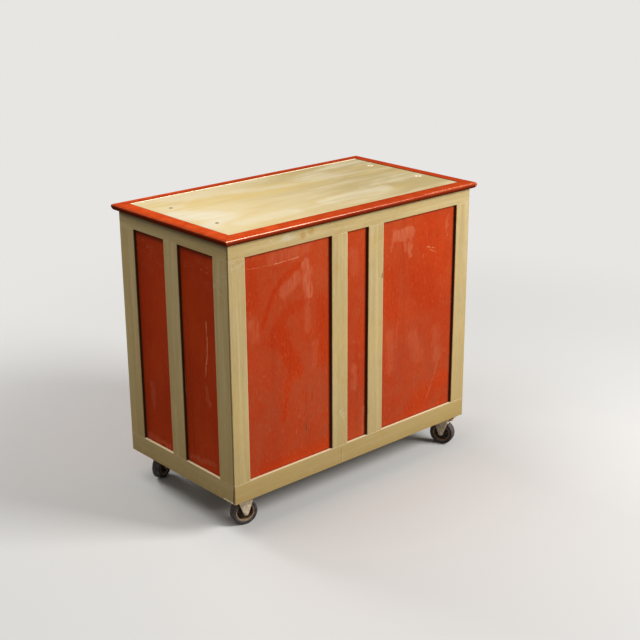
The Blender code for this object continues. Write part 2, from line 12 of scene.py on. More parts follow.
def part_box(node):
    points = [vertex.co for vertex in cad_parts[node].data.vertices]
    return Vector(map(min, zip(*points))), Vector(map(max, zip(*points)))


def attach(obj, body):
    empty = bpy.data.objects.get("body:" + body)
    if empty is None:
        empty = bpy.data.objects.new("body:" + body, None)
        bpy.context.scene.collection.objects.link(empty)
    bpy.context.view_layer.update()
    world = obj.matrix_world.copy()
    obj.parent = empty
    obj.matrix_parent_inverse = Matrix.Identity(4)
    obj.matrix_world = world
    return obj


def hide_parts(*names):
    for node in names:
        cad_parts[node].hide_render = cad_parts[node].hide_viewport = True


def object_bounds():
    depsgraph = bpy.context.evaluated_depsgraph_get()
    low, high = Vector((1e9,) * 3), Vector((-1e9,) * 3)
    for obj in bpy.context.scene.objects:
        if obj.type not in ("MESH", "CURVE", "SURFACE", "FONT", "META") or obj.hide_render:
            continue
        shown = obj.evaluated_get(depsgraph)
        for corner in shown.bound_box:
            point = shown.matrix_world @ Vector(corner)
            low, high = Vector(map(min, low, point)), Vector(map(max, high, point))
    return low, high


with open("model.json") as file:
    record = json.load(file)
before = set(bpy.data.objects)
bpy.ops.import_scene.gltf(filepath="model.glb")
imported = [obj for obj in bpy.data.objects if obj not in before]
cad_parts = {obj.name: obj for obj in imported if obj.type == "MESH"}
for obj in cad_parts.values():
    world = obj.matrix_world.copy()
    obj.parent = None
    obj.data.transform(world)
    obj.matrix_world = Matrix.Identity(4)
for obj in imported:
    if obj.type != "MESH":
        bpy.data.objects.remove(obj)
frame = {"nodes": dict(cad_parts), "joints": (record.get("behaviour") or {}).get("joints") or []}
CAD_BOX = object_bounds()
NODES = frame["nodes"]
JOINTS = {joint["name"]: joint for joint in frame["joints"]}

# Names of the frame
ROOT = "cabinet"
CELLS = [f"{row}_{column}" for row in ("top", "middle", "bottom") for column in ("left", "centre", "right")]
CORNERS = ("front_left", "front_right", "back_left", "back_right")
BRAKED = ("back_left", "back_right")
SIDES = ("left", "right")

# Planes of the case, read from the frame
BODY_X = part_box("right_top_rail")[1].x
BODY_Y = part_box("back_top_rail")[1].y
BACK_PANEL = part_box("back_board")[1].y
END_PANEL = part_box("end_board_right")[1].x
PANEL_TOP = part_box("right_top_rail")[0].z
TOP_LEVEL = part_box("top_field")[1].z
TOP_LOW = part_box("edging_back")[0].z
TOP_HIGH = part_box("edging_back")[1].z
FIELD_LOW, FIELD_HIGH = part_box("top_field")
HALF_TOP_X = CAD_BOX[1].x
HALF_TOP_Y = CAD_BOX[1].y

# Top: its edging, and the countersunk screw holes in the board
FIT_GAP = 0.0003
EDGE_X = FIELD_HIGH.x + FIT_GAP
EDGE_Y = FIELD_HIGH.y + FIT_GAP
EDGING_WIDTH = 0.043
EDGING_EASE = 0.0010
NOSE_DEPTH = 0.010
NOSE_DROP = 0.006
NOSE_STEPS = 12
EDGING_SECTIONS = 40
EDGING_WAVER = 0.0003
EDGING_WAVES = (9, 23, 7, 19)
MITRE_GAP = 0.0003
TOP_EASE = 0.0012
TOP_HOLES = ((0.405, -0.117), (0.409, 0.113), (-0.429, -0.129), (-0.433, 0.092))
HOLE_RADIUS = 0.0030
HOLE_DEPTH = 0.009
HOLE_STEPS = 20
SINK_RADIUS = 0.0042
SINK_DEPTH = 0.0012
CUT_PAST = 0.002

# Drawer boards
FRONT_THICKNESS = 0.018
FRONT_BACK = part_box("drawer_top_left")[0].y + FRONT_THICKNESS
REVEAL = 0.002
SIDE_THICKNESS = 0.012
BOTTOM_THICKNESS = 0.006
BOTTOM_LIFT = 0.0063
FRONT_EASE = 0.003
BOX_EASE = 0.0012
BOX_IN = 0.001
BOX_DROP = 0.0130

# Cup pulls
PULL_HALF = 0.048
PULL_OUT = 0.0195
PULL_UP = 0.036
PULL_WALL = 0.0018
PULL_FLANGE = 0.007
PULL_FLANGE_THICKNESS = 0.0016
PULL_FLANGE_EASE = 0.0005
PULL_FLANGE_LAP = 0.97
PULL_ACROSS = 44
PULL_RISE = 14
PULL_TURNS = [math.pi * step / PULL_ACROSS for step in range(PULL_ACROSS + 1)]
LIP_RADIUS = 0.0012
LIP_STEPS = 10
SCREW_TURNS = (math.radians(38), math.radians(142))
SCREW_RADIUS = 0.0028
SCREW_HEIGHT = 0.0014
SCREW_SUNK = 0.0002
SCREW_STEPS = 24
DOME_TURNS = (0.0, 0.3, 0.6, 0.9, 1.2, 1.45)
SLOT_EASE = 0.00005

# Casters
WHEEL_RADIUS = 0.041
WHEEL_HALF = 0.014
TYRE_SHOULDER = 0.0045
GROOVE_FLOOR = WHEEL_RADIUS - 0.0007
RIM_RADIUS = 0.0300
HUB_RADIUS = 0.0115
HUB_HALF = 0.0156
BORE_RADIUS = 0.0054
RIBS = 6
RIB_END = 0.0258
RIB_HALF = 0.0014
RIB_LOW = 0.0035
RIB_HIGH = 0.0062
RIB_EASE = 0.0006
TRAIL = 0.018
LEG_IN = 0.0165
LEG_OUT = 0.0200
LEG_HALF = 0.025
LEG_SHOULDER = 0.004
LEG_TOP_GAP = 0.0008
LEG_EASE = 0.0008
EYE_RADIUS = 0.0082
CROWN_LOW = 0.086
CROWN_HIGH = 0.090
CROWN_BACK = -0.024
CROWN_FRONT = 0.030
CROWN_HALF = LEG_OUT - 0.0006
CROWN_EASE = 0.0010
FRONT_ROUND = 0.008
BACK_ROUND = 0.016
KINGPIN_HOLE = 0.0064
RACE_RADIUS = 0.024
RACE_SEAM = 0.095
RACE_GAP = 0.0003
RACE_LAP = 0.001
PLATE_LOW = 0.1007
PLATE_HIGH = 0.1037
PLATE_HALF_X = 0.038
PLATE_HALF_Y = 0.048
PLATE_CORNER = 0.008
PLATE_EASE = 0.0007
BOLT_INSET = 0.011
BOLT_SINK = 0.0001
PLATE_BOLT = {"washer": (0.002, 0.0068, 0.0010), "across_flats": 0.0095, "height": 0.0032}
AXLE_BOLT = {"washer": (0.0042, 0.0072, 0.0008), "across_flats": 0.0105, "height": 0.0022}
AXLE_SEAT = LEG_OUT - 0.0002
TURN_STEPS = 64
CORNER_STEPS = 6
BACK_STEPS = 8
EYE_STEPS = 16
RIVET_STEPS = 32
AXLE_STEPS = 24
PIN_STEPS = 20

# Toe brakes
PEDAL_LENGTH = 0.027
PEDAL_HALF = 0.0153
PEDAL_THICKNESS = 0.003
PEDAL_RISE = math.radians(30)
PEDAL_TIP = 0.006
PEDAL_EASE = 0.0007
PEDAL_HOLE = 0.003
PEDAL_HOLE_INSET = 0.007
SHOE_LENGTH = 0.0075
SHOE_DROP = math.radians(50)
SHOE_EASE = 0.0006
BARREL_RADIUS = 0.004
BARREL_HALF = PEDAL_HALF + 0.0006
PIN_RADIUS = 0.0025
PIN_TAPER = 0.7
PIN_REACH = LEG_OUT + 0.0010

# Closed outlines of the casters' turned parts, as radius and height
UPPER_RACE = [
    (0.010, PLATE_LOW + RACE_LAP), (0.010, RACE_SEAM + RACE_GAP), (0.0205, RACE_SEAM + RACE_GAP),
    (0.0222, RACE_SEAM + 0.0007), (0.0235, RACE_SEAM + 0.0018), (RACE_RADIUS, RACE_SEAM + 0.0036),
    (RACE_RADIUS, PLATE_LOW + RACE_LAP),
]
LOWER_RACE = [
    (KINGPIN_HOLE, CROWN_HIGH - RACE_LAP), (KINGPIN_HOLE, RACE_SEAM - 0.0006), (0.0070, RACE_SEAM),
    (0.0205, RACE_SEAM), (0.0222, RACE_SEAM - 0.0004), (0.0235, RACE_SEAM - 0.0015),
    (RACE_RADIUS, RACE_SEAM - 0.0032), (RACE_RADIUS, CROWN_HIGH - RACE_LAP),
]
RIVET = [
    (0.0, 0.0838), (0.0045, 0.0838), (0.0078, 0.0846), (0.0088, 0.0857), (0.0060, 0.0858),
    (0.0060, PLATE_LOW + RACE_LAP), (0.0, PLATE_LOW + RACE_LAP),
]
SHAFT = [
    (0.0, -LEG_OUT - 0.0026), (0.0034, -LEG_OUT - 0.0026), (0.0040, -LEG_OUT - 0.0020),
    (0.0048, -LEG_OUT), (0.0048, LEG_OUT), (0.0, LEG_OUT),
]

# Upper halves of turned outlines that are the same both ways along their axis
RIM_SIDE = [
    (0.0252, 0.0048), (0.0255, 0.0060), (0.0262, 0.0105), (0.0268, 0.0118), (0.0280, 0.0124),
    (0.0296, 0.0122), (RIM_RADIUS - 0.0001, 0.0114),
]
CENTRE_SIDE = [
    (BORE_RADIUS, HUB_HALF), (HUB_RADIUS - 0.0015, HUB_HALF), (HUB_RADIUS, HUB_HALF - 0.0015),
    (HUB_RADIUS + 0.0008, 0.0070), (HUB_RADIUS + 0.0030, 0.0050), (0.0235, 0.0044), (0.0254, 0.0050),
]
BARREL_SIDE = [(0.0, BARREL_HALF), (BARREL_RADIUS, BARREL_HALF)]
PIN_SIDE = [(0.0, PIN_REACH), (PIN_RADIUS * PIN_TAPER, PIN_REACH), (PIN_RADIUS, LEG_OUT)]

# Meshes: turns that stand a shape upright or lay it across, and the tolerances of all pieces
UPRIGHT = Matrix.Rotation(math.pi / 2, 4, "X")
ACROSS = Matrix.Rotation(-math.pi / 2, 4, "X")
WELD_DISTANCE = 0.000001
ARRIS_WELD = 0.00001
ARRIS_WIDTH = 0.0004
ARRIS_ANGLE = math.radians(25)
SMOOTH_BOARDS = 40.0
SMOOTH_STEEL = 30.0

# Paint, wood and rubber colours, linear
CREAM = (0.560, 0.405, 0.172)
CREAM_GREEN = (0.520, 0.390, 0.180)
CREAM_PALE = (0.660, 0.520, 0.270)
CREAM_DEEP = (0.420, 0.285, 0.100)
CREAM_STAIN = (0.480, 0.290, 0.075)
# The pale cream of painted highlights on lit ledges and edges, and of the cream lapped onto the edging
HIGHLIGHT_CREAM = (0.860, 0.730, 0.470)
COOL_WHITE = (0.630, 0.550, 0.380)
TOP_PALE = (0.670, 0.532, 0.286)
TOP_DIM = (0.398, 0.308, 0.142)
TOP_YELLOW = (0.600, 0.430, 0.150)
TOP_WHITE = (0.720, 0.655, 0.500)
# The dark of real dirt, drips and joints, and of painted shade in corners, recesses, holes and under overhangs
SHADE_AND_GRIME = (0.030, 0.018, 0.010)
PRIMER = (0.720, 0.670, 0.550)
CHIP = (0.900, 0.760, 0.520)
CRACK = (0.170, 0.095, 0.030)
RED = (0.475, 0.038, 0.0055)
RED_DEEP = (0.370, 0.024, 0.0035)
RED_BRIGHT = (0.540, 0.050, 0.0070)
CHALK = (0.450, 0.090, 0.030)
CHALK_DULL = (0.345, 0.088, 0.038)
SMEAR = (0.630, 0.172, 0.080)
SCRATCH = (0.720, 0.262, 0.128)
EDGE_RED = (0.500, 0.052, 0.0100)
EDGE_BRIGHT = (0.620, 0.080, 0.0160)
# Painted shade on the underside of the edging's nose
EDGE_SHADE = (0.110, 0.013, 0.0040)
EDGE_DEEP = (0.310, 0.030, 0.0070)
EDGE_GLOSS = (1.0, 0.84, 0.64)
RAW_WOOD = (0.480, 0.310, 0.150)
RAW_DEEP = (0.300, 0.170, 0.070)
RUBBER_DARK = (0.014, 0.015, 0.021)
RUBBER_GREY = (0.050, 0.050, 0.058)
DUST = (0.300, 0.210, 0.135)

# Metal colours, linear
RUST = (0.210, 0.095, 0.035)
RUST_PALE = (0.600, 0.400, 0.230)
# Painted shade in the wheel centre's crevices
CREVICE_SHADE = (0.012, 0.008, 0.006)
STEEL_DARK = (0.250, 0.232, 0.205)
STEEL_GREY = (0.330, 0.312, 0.282)
ZINC_TAN = (0.520, 0.380, 0.240)
ZINC_PALE = (0.920, 0.760, 0.560)
WEB_DARK = (0.016, 0.011, 0.008)
WEB_BROWN = (0.050, 0.033, 0.021)
RIM_BROWN = (0.220, 0.130, 0.070)
RIM_TAN = (0.460, 0.300, 0.170)

# Knots in the long top rail, as a middle and a radius
KNOTS = (((0.188, BODY_Y, 0.8815), 0.006), ((0.219, BODY_Y, 0.8725), 0.005))

# Strokes on the cream frame: two ends, half width, soft edge, and the share where it is below 1
CORNER_CHIPS = ((BODY_X, 0.216, 0.1045), (BODY_X, 0.256, 0.1050), 0.0045, 0.0040)
CORNER_GAP = ((BODY_X, 0.2585, 0.104), (BODY_X, 0.2612, 0.150), 0.0016, 0.0020, 0.85)
CORNER_DARK_LINE = ((BODY_X, 0.2612, 0.150), (BODY_X, 0.2615, 0.880), 0.0012, 0.0022, 0.62)
RAIL_SMUDGE = ((0.255, BODY_Y, 0.878), (0.330, BODY_Y, 0.886), 0.006, 0.014, 0.75)
RAIL_CHIP = ((0.0655, BODY_Y, 0.110), (0.0648, BODY_Y, 0.142), 0.0014, 0.0016, 0.8)
RAIL_CRACK = ((0.0675, BODY_Y, 0.104), (0.0690, BODY_Y, 0.150), 0.0005, 0.0014)
STILE_RUBS = (
    ((0.069, BODY_Y, 0.285), (0.062, BODY_Y, 0.262), 0.004, 0.006, 0.75),
    ((0.470, BODY_Y, 0.838), (0.445, BODY_Y, 0.830), 0.010, 0.020, 0.35),
    ((BODY_X, 0.199, 0.762), (BODY_X, 0.226, 0.745), 0.002, 0.006, 0.55),
    ((BODY_X, 0.205, 0.778), (BODY_X, 0.240, 0.790), 0.010, 0.020, 0.25),
    ((-0.470, BODY_Y, 0.700), (-0.466, BODY_Y, 0.420), 0.002, 0.016, 0.16),
)
# Painted highlights along the stiles' edges beside the panels
STILE_EDGES = [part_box(f"back_{board}")[0].x for board in ("post_right", "mid_stile_right", "mid_stile_left")]
LIT_EDGES = [((x, BODY_Y, 0.152), (x, BODY_Y, PANEL_TOP), 0.0008, 0.0018, 0.60) for x in STILE_EDGES]
STILE_NICK = ((-0.1006, BODY_Y, 0.6780), (-0.1020, BODY_Y, 0.6880), 0.0014, 0.0016, 0.85)

# Trails on the top: half width, soft edge, share, and places along and across
TOP_WHITES = (
    (0.020, 0.050, 0.80, (0.445, -0.030), (0.368, 0.036)),
    (0.012, 0.045, 0.65, (0.448, 0.124), (0.345, 0.059)),
    (0.008, 0.040, 0.50, (0.357, 0.161), (0.169, 0.160)),
    (0.010, 0.040, 0.45, (0.011, 0.139), (-0.230, 0.130)),
)
TOP_YELLOWS = (
    (0.012, 0.045, 0.55, (0.428, -0.180), (0.360, -0.150)),
    (0.014, 0.050, 0.55, (0.323, -0.110), (0.131, -0.073)),
    (0.014, 0.050, 0.40, (0.065, -0.056), (-0.142, -0.055)),
)

# Trails on the long panelled side: half width, soft edge, share, and places across and up
BACK_WIPES = (
    (0.005, 0.009, 0.98, (0.370, 0.622), (0.347, 0.677), (0.316, 0.725), (0.278, 0.760), (0.230, 0.782)),
    (0.006, 0.024, 0.75, (0.329, 0.570), (0.319, 0.606), (0.292, 0.639), (0.256, 0.659), (0.208, 0.663)),
    (0.016, 0.024, 1.00, (0.305, 0.600), (0.278, 0.530), (0.240, 0.462)),
    (0.004, 0.012, 0.95, (0.268, 0.460), (0.278, 0.384), (0.292, 0.318)),
    (0.010, 0.040, 0.75, (0.405, 0.805), (0.404, 0.702)),
    (0.006, 0.036, 0.80, (0.380, 0.176), (0.126, 0.178)),
    (0.010, 0.040, 0.75, (0.140, 0.656), (0.132, 0.470)),
    (0.020, 0.070, 0.80, (-0.270, 0.640), (-0.330, 0.560)),
    (0.030, 0.060, 0.75, (-0.310, 0.800), (-0.350, 0.660)),
    (0.014, 0.050, 0.70, (-0.150, 0.660), (-0.152, 0.560)),
    (0.012, 0.040, 0.75, (-0.400, 0.260), (-0.250, 0.190)),
)
BACK_SMEARS = (
    (0.012, 0.009, 0.70, (0.200, 0.780), (0.191, 0.690)),
    (0.003, 0.014, 0.30, (0.199, 0.690), (0.194, 0.576)),
    (0.008, 0.024, 0.45, (0.284, 0.716), (0.235, 0.742)),
    (0.008, 0.024, 0.30, (0.330, 0.822), (0.200, 0.828)),
    (0.003, 0.014, 0.22, (0.165, 0.529), (0.171, 0.458)),
    (0.010, 0.024, 0.26, (0.404, 0.640), (0.394, 0.602)),
    (0.014, 0.010, 0.62, (-0.166, 0.794), (-0.236, 0.794)),
    (0.004, 0.006, 0.50, (-0.154, 0.788), (-0.151, 0.750)),
    (0.005, 0.006, 0.60, (-0.231, 0.793), (-0.233, 0.722)),
    (0.004, 0.007, 0.50, (-0.208, 0.786), (-0.214, 0.742)),
    (0.003, 0.005, 0.55, (-0.398, 0.812), (-0.398, 0.753)),
    (0.010, 0.030, 0.28, (-0.251, 0.449), (-0.276, 0.374)),
    (0.006, 0.022, 0.28, (-0.148, 0.475), (-0.156, 0.354)),
    (0.008, 0.024, 0.28, (-0.356, 0.440), (-0.365, 0.351)),
    (0.004, 0.012, 0.35, (0.008, 0.415), (0.008, 0.340)),
    (0.004, 0.014, 0.45, (-0.036, 0.259), (-0.040, 0.172)),
    (0.008, 0.020, 0.25, (0.010, 0.777), (0.004, 0.721)),
)
BACK_SCRATCHES = (
    (0.0007, 0.0012, 0.75, (0.322, 0.8045), (0.262, 0.8050), (0.228, 0.8062)),
    (0.0003, 0.0012, 0.40, (0.423, 0.8090), (0.351, 0.8050), (0.322, 0.8045)),
    (0.0007, 0.0014, 0.80, (-0.309, 0.7320), (-0.326, 0.7255), (-0.341, 0.7225)),
    (0.0005, 0.0014, 0.60, (-0.321, 0.7205), (-0.352, 0.7060)),
    (0.0008, 0.0045, 0.20, (-0.374, 0.335), (-0.350, 0.270), (-0.322, 0.210)),
    (0.0005, 0.0014, 0.25, (-0.180, 0.5200), (-0.176, 0.4100)),
)
BACK_DRIPS = (
    (0.0004, 0.0018, 0.22, (0.206, 0.403), (0.206, 0.262)),
    (0.0010, 0.0020, 0.50, (0.206, 0.275), (0.2055, 0.256)),
    (0.0005, 0.0018, 0.35, (0.180, 0.388), (0.180, 0.347)),
)
BACK_MARKS = (BACK_WIPES, BACK_SMEARS, BACK_SCRATCHES, BACK_DRIPS)

# Trails on the short panelled ends, in the same form
END_WIPES = (
    (0.020, 0.030, 0.80, (0.090, 0.700), (0.100, 0.480)),
    (0.020, 0.030, 0.80, (-0.120, 0.640), (-0.130, 0.420)),
)
END_SMEARS = (
    (0.004, 0.010, 0.45, (0.134, 0.435), (0.143, 0.383)),
    (0.003, 0.010, 0.45, (0.031, 0.182), (0.162, 0.196)),
    (0.004, 0.014, 0.35, (-0.146, 0.359), (-0.145, 0.292)),
    (0.003, 0.010, 0.45, (-0.182, 0.180), (-0.074, 0.178)),
)
END_SCRATCHES = (
    (0.0010, 0.0018, 1.00, (0.1420, 0.640), (0.1442, 0.570), (0.1400, 0.535), (0.1300, 0.470)),
    (0.0007, 0.0016, 0.70, (0.0240, 0.690), (0.0240, 0.506), (0.0300, 0.380)),
)
END_MARKS = (END_WIPES, END_SMEARS, END_SCRATCHES, ())


class Value:
    """A number that varies over a surface. Its operators add nodes: | is the larger of two, & the smaller."""

    def __init__(self, shader, socket):
        self.shader = shader
        self.socket = socket

    def node(self, operation, first, second=0.0):
        return self.shader.value("ShaderNodeMath", {0: first, 1: second}, operation=operation)

    def __add__(self, other):
        return self.node("ADD", self, other)

    def __sub__(self, other):
        return self.node("SUBTRACT", self, other)

    def __rsub__(self, other):
        return self.node("SUBTRACT", other, self)

    def __mul__(self, other):
        return self.node("MULTIPLY", self, other)

    def __or__(self, other):
        return self.node("MAXIMUM", self, other)

    def __and__(self, other):
        return self.node("MINIMUM", self, other)

    def __abs__(self):
        return self.node("ABSOLUTE", self)

    def span(self, low, high, most=1.0):
        """A smooth step from 0 at the low value to the most at the high one."""
        inputs = {"Value": self, "From Min": low, "From Max": high, "To Max": most}
        return self.shader.value("ShaderNodeMapRange", inputs, interpolation_type="SMOOTHSTEP")

    def between(self, low, high):
        """A number that runs from low to high as this one runs from 0 to 1."""
        return self * (high - low) + low


class Shader:
    """One procedural material, built up in coats: its colour, roughness and height so far."""

    def __init__(self, name):
        self.material = bpy.data.materials.new(name)
        self.material.use_nodes = True
        self.tree = self.material.node_tree
        self.surface = self.tree.nodes["Principled BSDF"]
        self.colour = None
        self.rough = None
        self.height = None
        coordinates = self.add("ShaderNodeTexCoord").outputs
        self.place = coordinates["Object"]
        self.facing = coordinates["Normal"]
        self.x, self.y, self.z = self.axes(self.place)
        self.sideways, _, self.up = self.axes(self.facing)

    def add(self, kind, inputs=(), **settings):
        node = self.tree.nodes.new(kind)
        for key, setting in settings.items():
            setattr(node, key, setting)
        for key, source in dict(inputs).items():
            self.put(node.inputs[key], source)
        return node

    def put(self, socket, source):
        if isinstance(source, Value):
            source = source.socket
        if isinstance(source, bpy.types.NodeSocket):
            self.tree.links.new(source, socket)
        elif socket.type == "RGBA":
            socket.default_value = (*source, 1.0)
        else:
            socket.default_value = source

    def value(self, kind, inputs, output=0, **settings):
        return Value(self, self.add(kind, inputs, **settings).outputs[output])

    def axes(self, vector):
        return [Value(self, socket) for socket in self.add("ShaderNodeSeparateXYZ", {0: vector}).outputs]

    def vector(self, operation, first, second=(0.0, 0.0, 0.0)):
        return self.add("ShaderNodeVectorMath", {0: first, 1: second}, operation=operation).outputs["Vector"]

    def measure(self, operation, first, second):
        return self.value("ShaderNodeVectorMath", {0: first, 1: second}, "Value", operation=operation)

    def noise(self, vector, scale, detail, rough, twist):
        inputs = {"Vector": vector, "Scale": scale, "Detail": detail, "Roughness": rough, "Distortion": twist}
        return self.value("ShaderNodeTexNoise", inputs, "Fac")

    def clouds(self, scale, detail=3.0, rough=0.55, twist=0.0):
        """Noise that is the same along all axes, with its scale in cells to the metre."""
        return self.noise(self.place, scale, detail, rough, twist)

    def streaks(self, along, length, width, detail=3.0, rough=0.55, twist=0.0):
        """Noise in cells of one length along an axis and one width across it."""
        scale = [1 / width] * 3
        scale["XYZ".index(along)] = 1 / length
        return self.noise(self.vector("MULTIPLY", self.place, scale), 1.0, detail, rough, twist)

    def spots(self, size, share):
        """Small round spots: the spacing of their cells, and the part of a cell that one fills."""
        cells = self.value("ShaderNodeTexVoronoi", {"Vector": self.place, "Scale": 1 / size}, "Distance")
        return cells.span(share, share * 0.6)

    def warped(self, reach, scale):
        """Places pushed about by up to a reach, so that marks drawn there get uneven edges."""
        noise = self.add("ShaderNodeTexNoise", {"Vector": self.place, "Scale": scale, "Detail": 3.0})
        push = self.vector("SUBTRACT", noise.outputs["Color"], (0.5, 0.5, 0.5))
        return self.vector("ADD", self.place, self.vector("MULTIPLY", push, (2 * reach,) * 3))

    def stroke(self, start, end, half_width, soft, most=1.0, where=None):
        """A straight mark between two points, falling to 0 past its soft edge."""
        run = Vector(end) - Vector(start)
        offset = self.vector("SUBTRACT", where or self.place, start)
        share = self.measure("DOT_PRODUCT", offset, run / run.length_squared)
        share = self.value("ShaderNodeMath", {0: share, 1: 0.0}, operation="ADD", use_clamp=True)
        nearest = self.add("ShaderNodeVectorMath", {0: run, "Scale": share}, operation="SCALE").outputs[0]
        return self.measure("DISTANCE", offset, nearest).span(half_width + soft, half_width, most)

    def spot(self, centre, radius, soft, most=1.0):
        return self.measure("DISTANCE", self.place, centre).span(radius + soft, radius, most)

    def edge(self, radius):
        """1 along the piece's own edges."""
        rounded = self.add("ShaderNodeBevel", {"Radius": radius}, samples=4).outputs[0]
        flat = self.add("ShaderNodeNewGeometry").outputs["Normal"]
        return self.measure("DOT_PRODUCT", rounded, flat).span(0.995, 0.80)

    def arris(self):
        """1 on the rounded edges of a square board, which face along no axis."""
        x, y, z = self.axes(self.vector("ABSOLUTE", self.facing))
        return (x | y | z).span(0.995, 0.88)

    def nook(self, distance, most=1.0):
        """The most in inside corners and crevices, and 0 in the open."""
        occlusion = self.value("ShaderNodeAmbientOcclusion", {"Distance": distance}, "AO", samples=6)
        return occlusion.span(0.80, 0.25, most)

    def recess(self):
        """Masks of the frame's faces in a panel's recess: its sides, for painted shade, and the ledges that
        face up, for a painted highlight.
        """
        depth = (BODY_X - abs(self.x)) & (BODY_Y - abs(self.y))
        side = depth.span(0.0010, 0.0030) * (1.0 - abs(self.up).span(0.3, 0.6))
        return side, depth.span(0.0, 0.0010) * self.up.span(0.4, 0.7)

    def mix(self, share, first, second):
        return self.add("ShaderNodeMix", {0: share, 6: first, 7: second}, data_type="RGBA").outputs[2]

    def coat(self, share, colour):
        """Lay a share of a colour over what is there."""
        self.colour = self.mix(share, self.colour, colour)

    def cover(self, share, layers, along):
        """Lay a share of another finish's colour over what is there."""
        under = (self.colour, self.rough, self.height)
        layers(self, along)
        over = self.colour
        self.colour, self.rough, self.height = under
        self.coat(share, over)

    def close(self, relief, sheen=0.06):
        """Set the surface, with relief as the height in metres of the bump's full swing."""
        bump = self.add("ShaderNodeBump", {"Height": self.height, "Strength": 0.7, "Distance": relief})
        self.put(self.surface.inputs["Specular IOR Level"], sheen)
        self.put(self.surface.inputs["Base Color"], self.colour)
        self.put(self.surface.inputs["Roughness"], self.rough)
        self.put(self.surface.inputs["Normal"], bump.outputs[0])
        return self.material


# Cream paint
def cream_layers(shader, along):
    """Brushed cream paint."""
    brush = shader.streaks(along, 0.22, 0.006, detail=4.0, rough=0.62)
    grain = shader.streaks(along, 0.60, 0.024, detail=5.0, twist=0.5)
    cloud = shader.clouds(16.0, detail=5.0, rough=0.6)
    thread = shader.streaks(along, 0.030, 0.0020, rough=0.6)
    shader.colour = CREAM
    shader.coat(shader.clouds(5.0, detail=2.0).span(0.35, 0.65), CREAM_GREEN)
    shader.coat(grain.span(0.45, 0.70, 0.70), CREAM_PALE)
    shader.coat(brush.span(0.52, 0.76, 0.55), CREAM_DEEP)
    shader.coat(cloud.span(0.55, 0.75, 0.42), CREAM_STAIN)
    shader.coat(thread.span(0.50, 0.75, 0.45), CREAM_DEEP)
    shader.coat(thread.span(0.46, 0.25, 0.50), CREAM_PALE)
    shader.coat(shader.spots(0.011, 0.09) * cloud.span(0.45, 0.6, 0.7), SHADE_AND_GRIME)
    shader.rough = brush.between(0.42, 0.66)
    shader.height = brush * 0.6 + grain * 0.4


def worn_edges(shader, bare, reach, amount):
    """Show what lies under the paint where edges are rubbed, and lower the surface there."""
    rub = shader.clouds(70.0, detail=5.0, rough=0.65) * 1.2
    worn = ((shader.edge(reach) | shader.arris()) + rub).span(1.52 - amount, 1.66 - amount)
    shader.coat(worn * 0.85, bare)
    shader.height = shader.height - worn * 0.5


def cream_paint(name, along, marks):
    """Cream frame paint: rubbed edges, painted shade in corners, recesses, low down and under the top, painted
    lit ledges, and its marks.
    """
    shader = Shader(name)
    cream_layers(shader, along)
    worn_edges(shader, PRIMER, 0.0022, -0.14)
    # Painted shade in corners and crevices, and painted falloff that darkens the frame towards the bottom
    shader.coat(shader.nook(0.010, 0.45) | shader.z.span(0.42, 0.11, 0.32), CREAM_DEEP)
    soil = shader.clouds(45.0, detail=5.0, rough=0.65) * 0.060
    shader.coat((shader.z - soil).span(0.100, 0.074, 0.60), CREAM_DEEP)
    # Painted shadow under the overhang of the top, on the end faces
    ends = abs(shader.sideways).span(0.5, 0.8)
    shader.coat(shader.z.span(TOP_LOW - 0.020, TOP_LOW - 0.001, 0.80) * ends, SHADE_AND_GRIME)
    marks(shader)
    # Painted shade on the sides of each panel's recess, and a painted highlight on its ledge
    side, lit_ledge = shader.recess()
    shader.coat(lit_ledge * 0.9, HIGHLIGHT_CREAM)
    shader.coat(side * 0.93, SHADE_AND_GRIME)
    return shader.close(0.0005)


def corner_marks(shader):
    """Paint knocked off the bottom edge beside the near corner, and a dark line along that corner."""
    bits = shader.clouds(170.0, rough=0.6).span(0.42, 0.50)
    shader.coat(shader.stroke(*CORNER_CHIPS) * bits, CHIP)
    shader.coat(shader.stroke(*CORNER_GAP) | shader.stroke(*CORNER_DARK_LINE), SHADE_AND_GRIME)


def back_rail_marks(shader):
    """Two knots and a pale smudge on the top rail, and a chip and a crack in the bottom rail."""
    for centre, radius in KNOTS:
        shader.coat(shader.spot(centre, radius, 0.012, 0.75), CREAM_STAIN)
        core = shader.spot(centre, radius * 0.6, 0.0012)
        shader.coat(shader.spot(centre, radius, 0.0012, 0.75) * (1.0 - core), CREAM_DEEP)
    breaks = shader.streaks("X", 0.06, 0.02, detail=4.0).span(0.40, 0.60)
    shader.coat(shader.stroke(*RAIL_SMUDGE) * breaks, COOL_WHITE)
    shader.coat(shader.stroke(*RAIL_CHIP) * breaks, COOL_WHITE)
    crack = shader.stroke(*RAIL_CRACK, where=shader.warped(0.0030, 90.0))
    shader.coat(crack * 0.75, CRACK)
    # Painted falloff: the bottom rail darker
    shader.coat(shader.z.span(0.175, 0.140, 0.48), CREAM_DEEP)
    shader.height = shader.height - crack


def stile_marks(shader):
    """Scuffs, painted highlights on lit edges, and a nick on the corner posts and stiles."""
    breaks = shader.clouds(95.0, detail=4.0).span(0.42, 0.60)
    for rub in STILE_RUBS:
        shader.coat(shader.stroke(*rub) * breaks, COOL_WHITE)
    # Painted highlights along the lit edges beside the panels
    for edge in LIT_EDGES:
        shader.coat(shader.stroke(*edge), HIGHLIGHT_CREAM)
    shader.coat(shader.stroke(*STILE_NICK), CRACK)
    corner_marks(shader)


def trails(shader, marks, place, reach, scale):
    """The strongest of several uneven marks, each a half width, a soft edge, a share and a line of points."""
    where = shader.warped(reach, scale)
    strongest = None
    for half_width, soft, share, *points in marks:
        ends = [place(*point) for point in points]
        for start, end in zip(ends, ends[1:]):
            mark = shader.stroke(start, end, half_width, soft, share, where)
            strongest = strongest | mark if strongest else mark
    return strongest


def on_top(along, across):
    return along, across, TOP_LEVEL


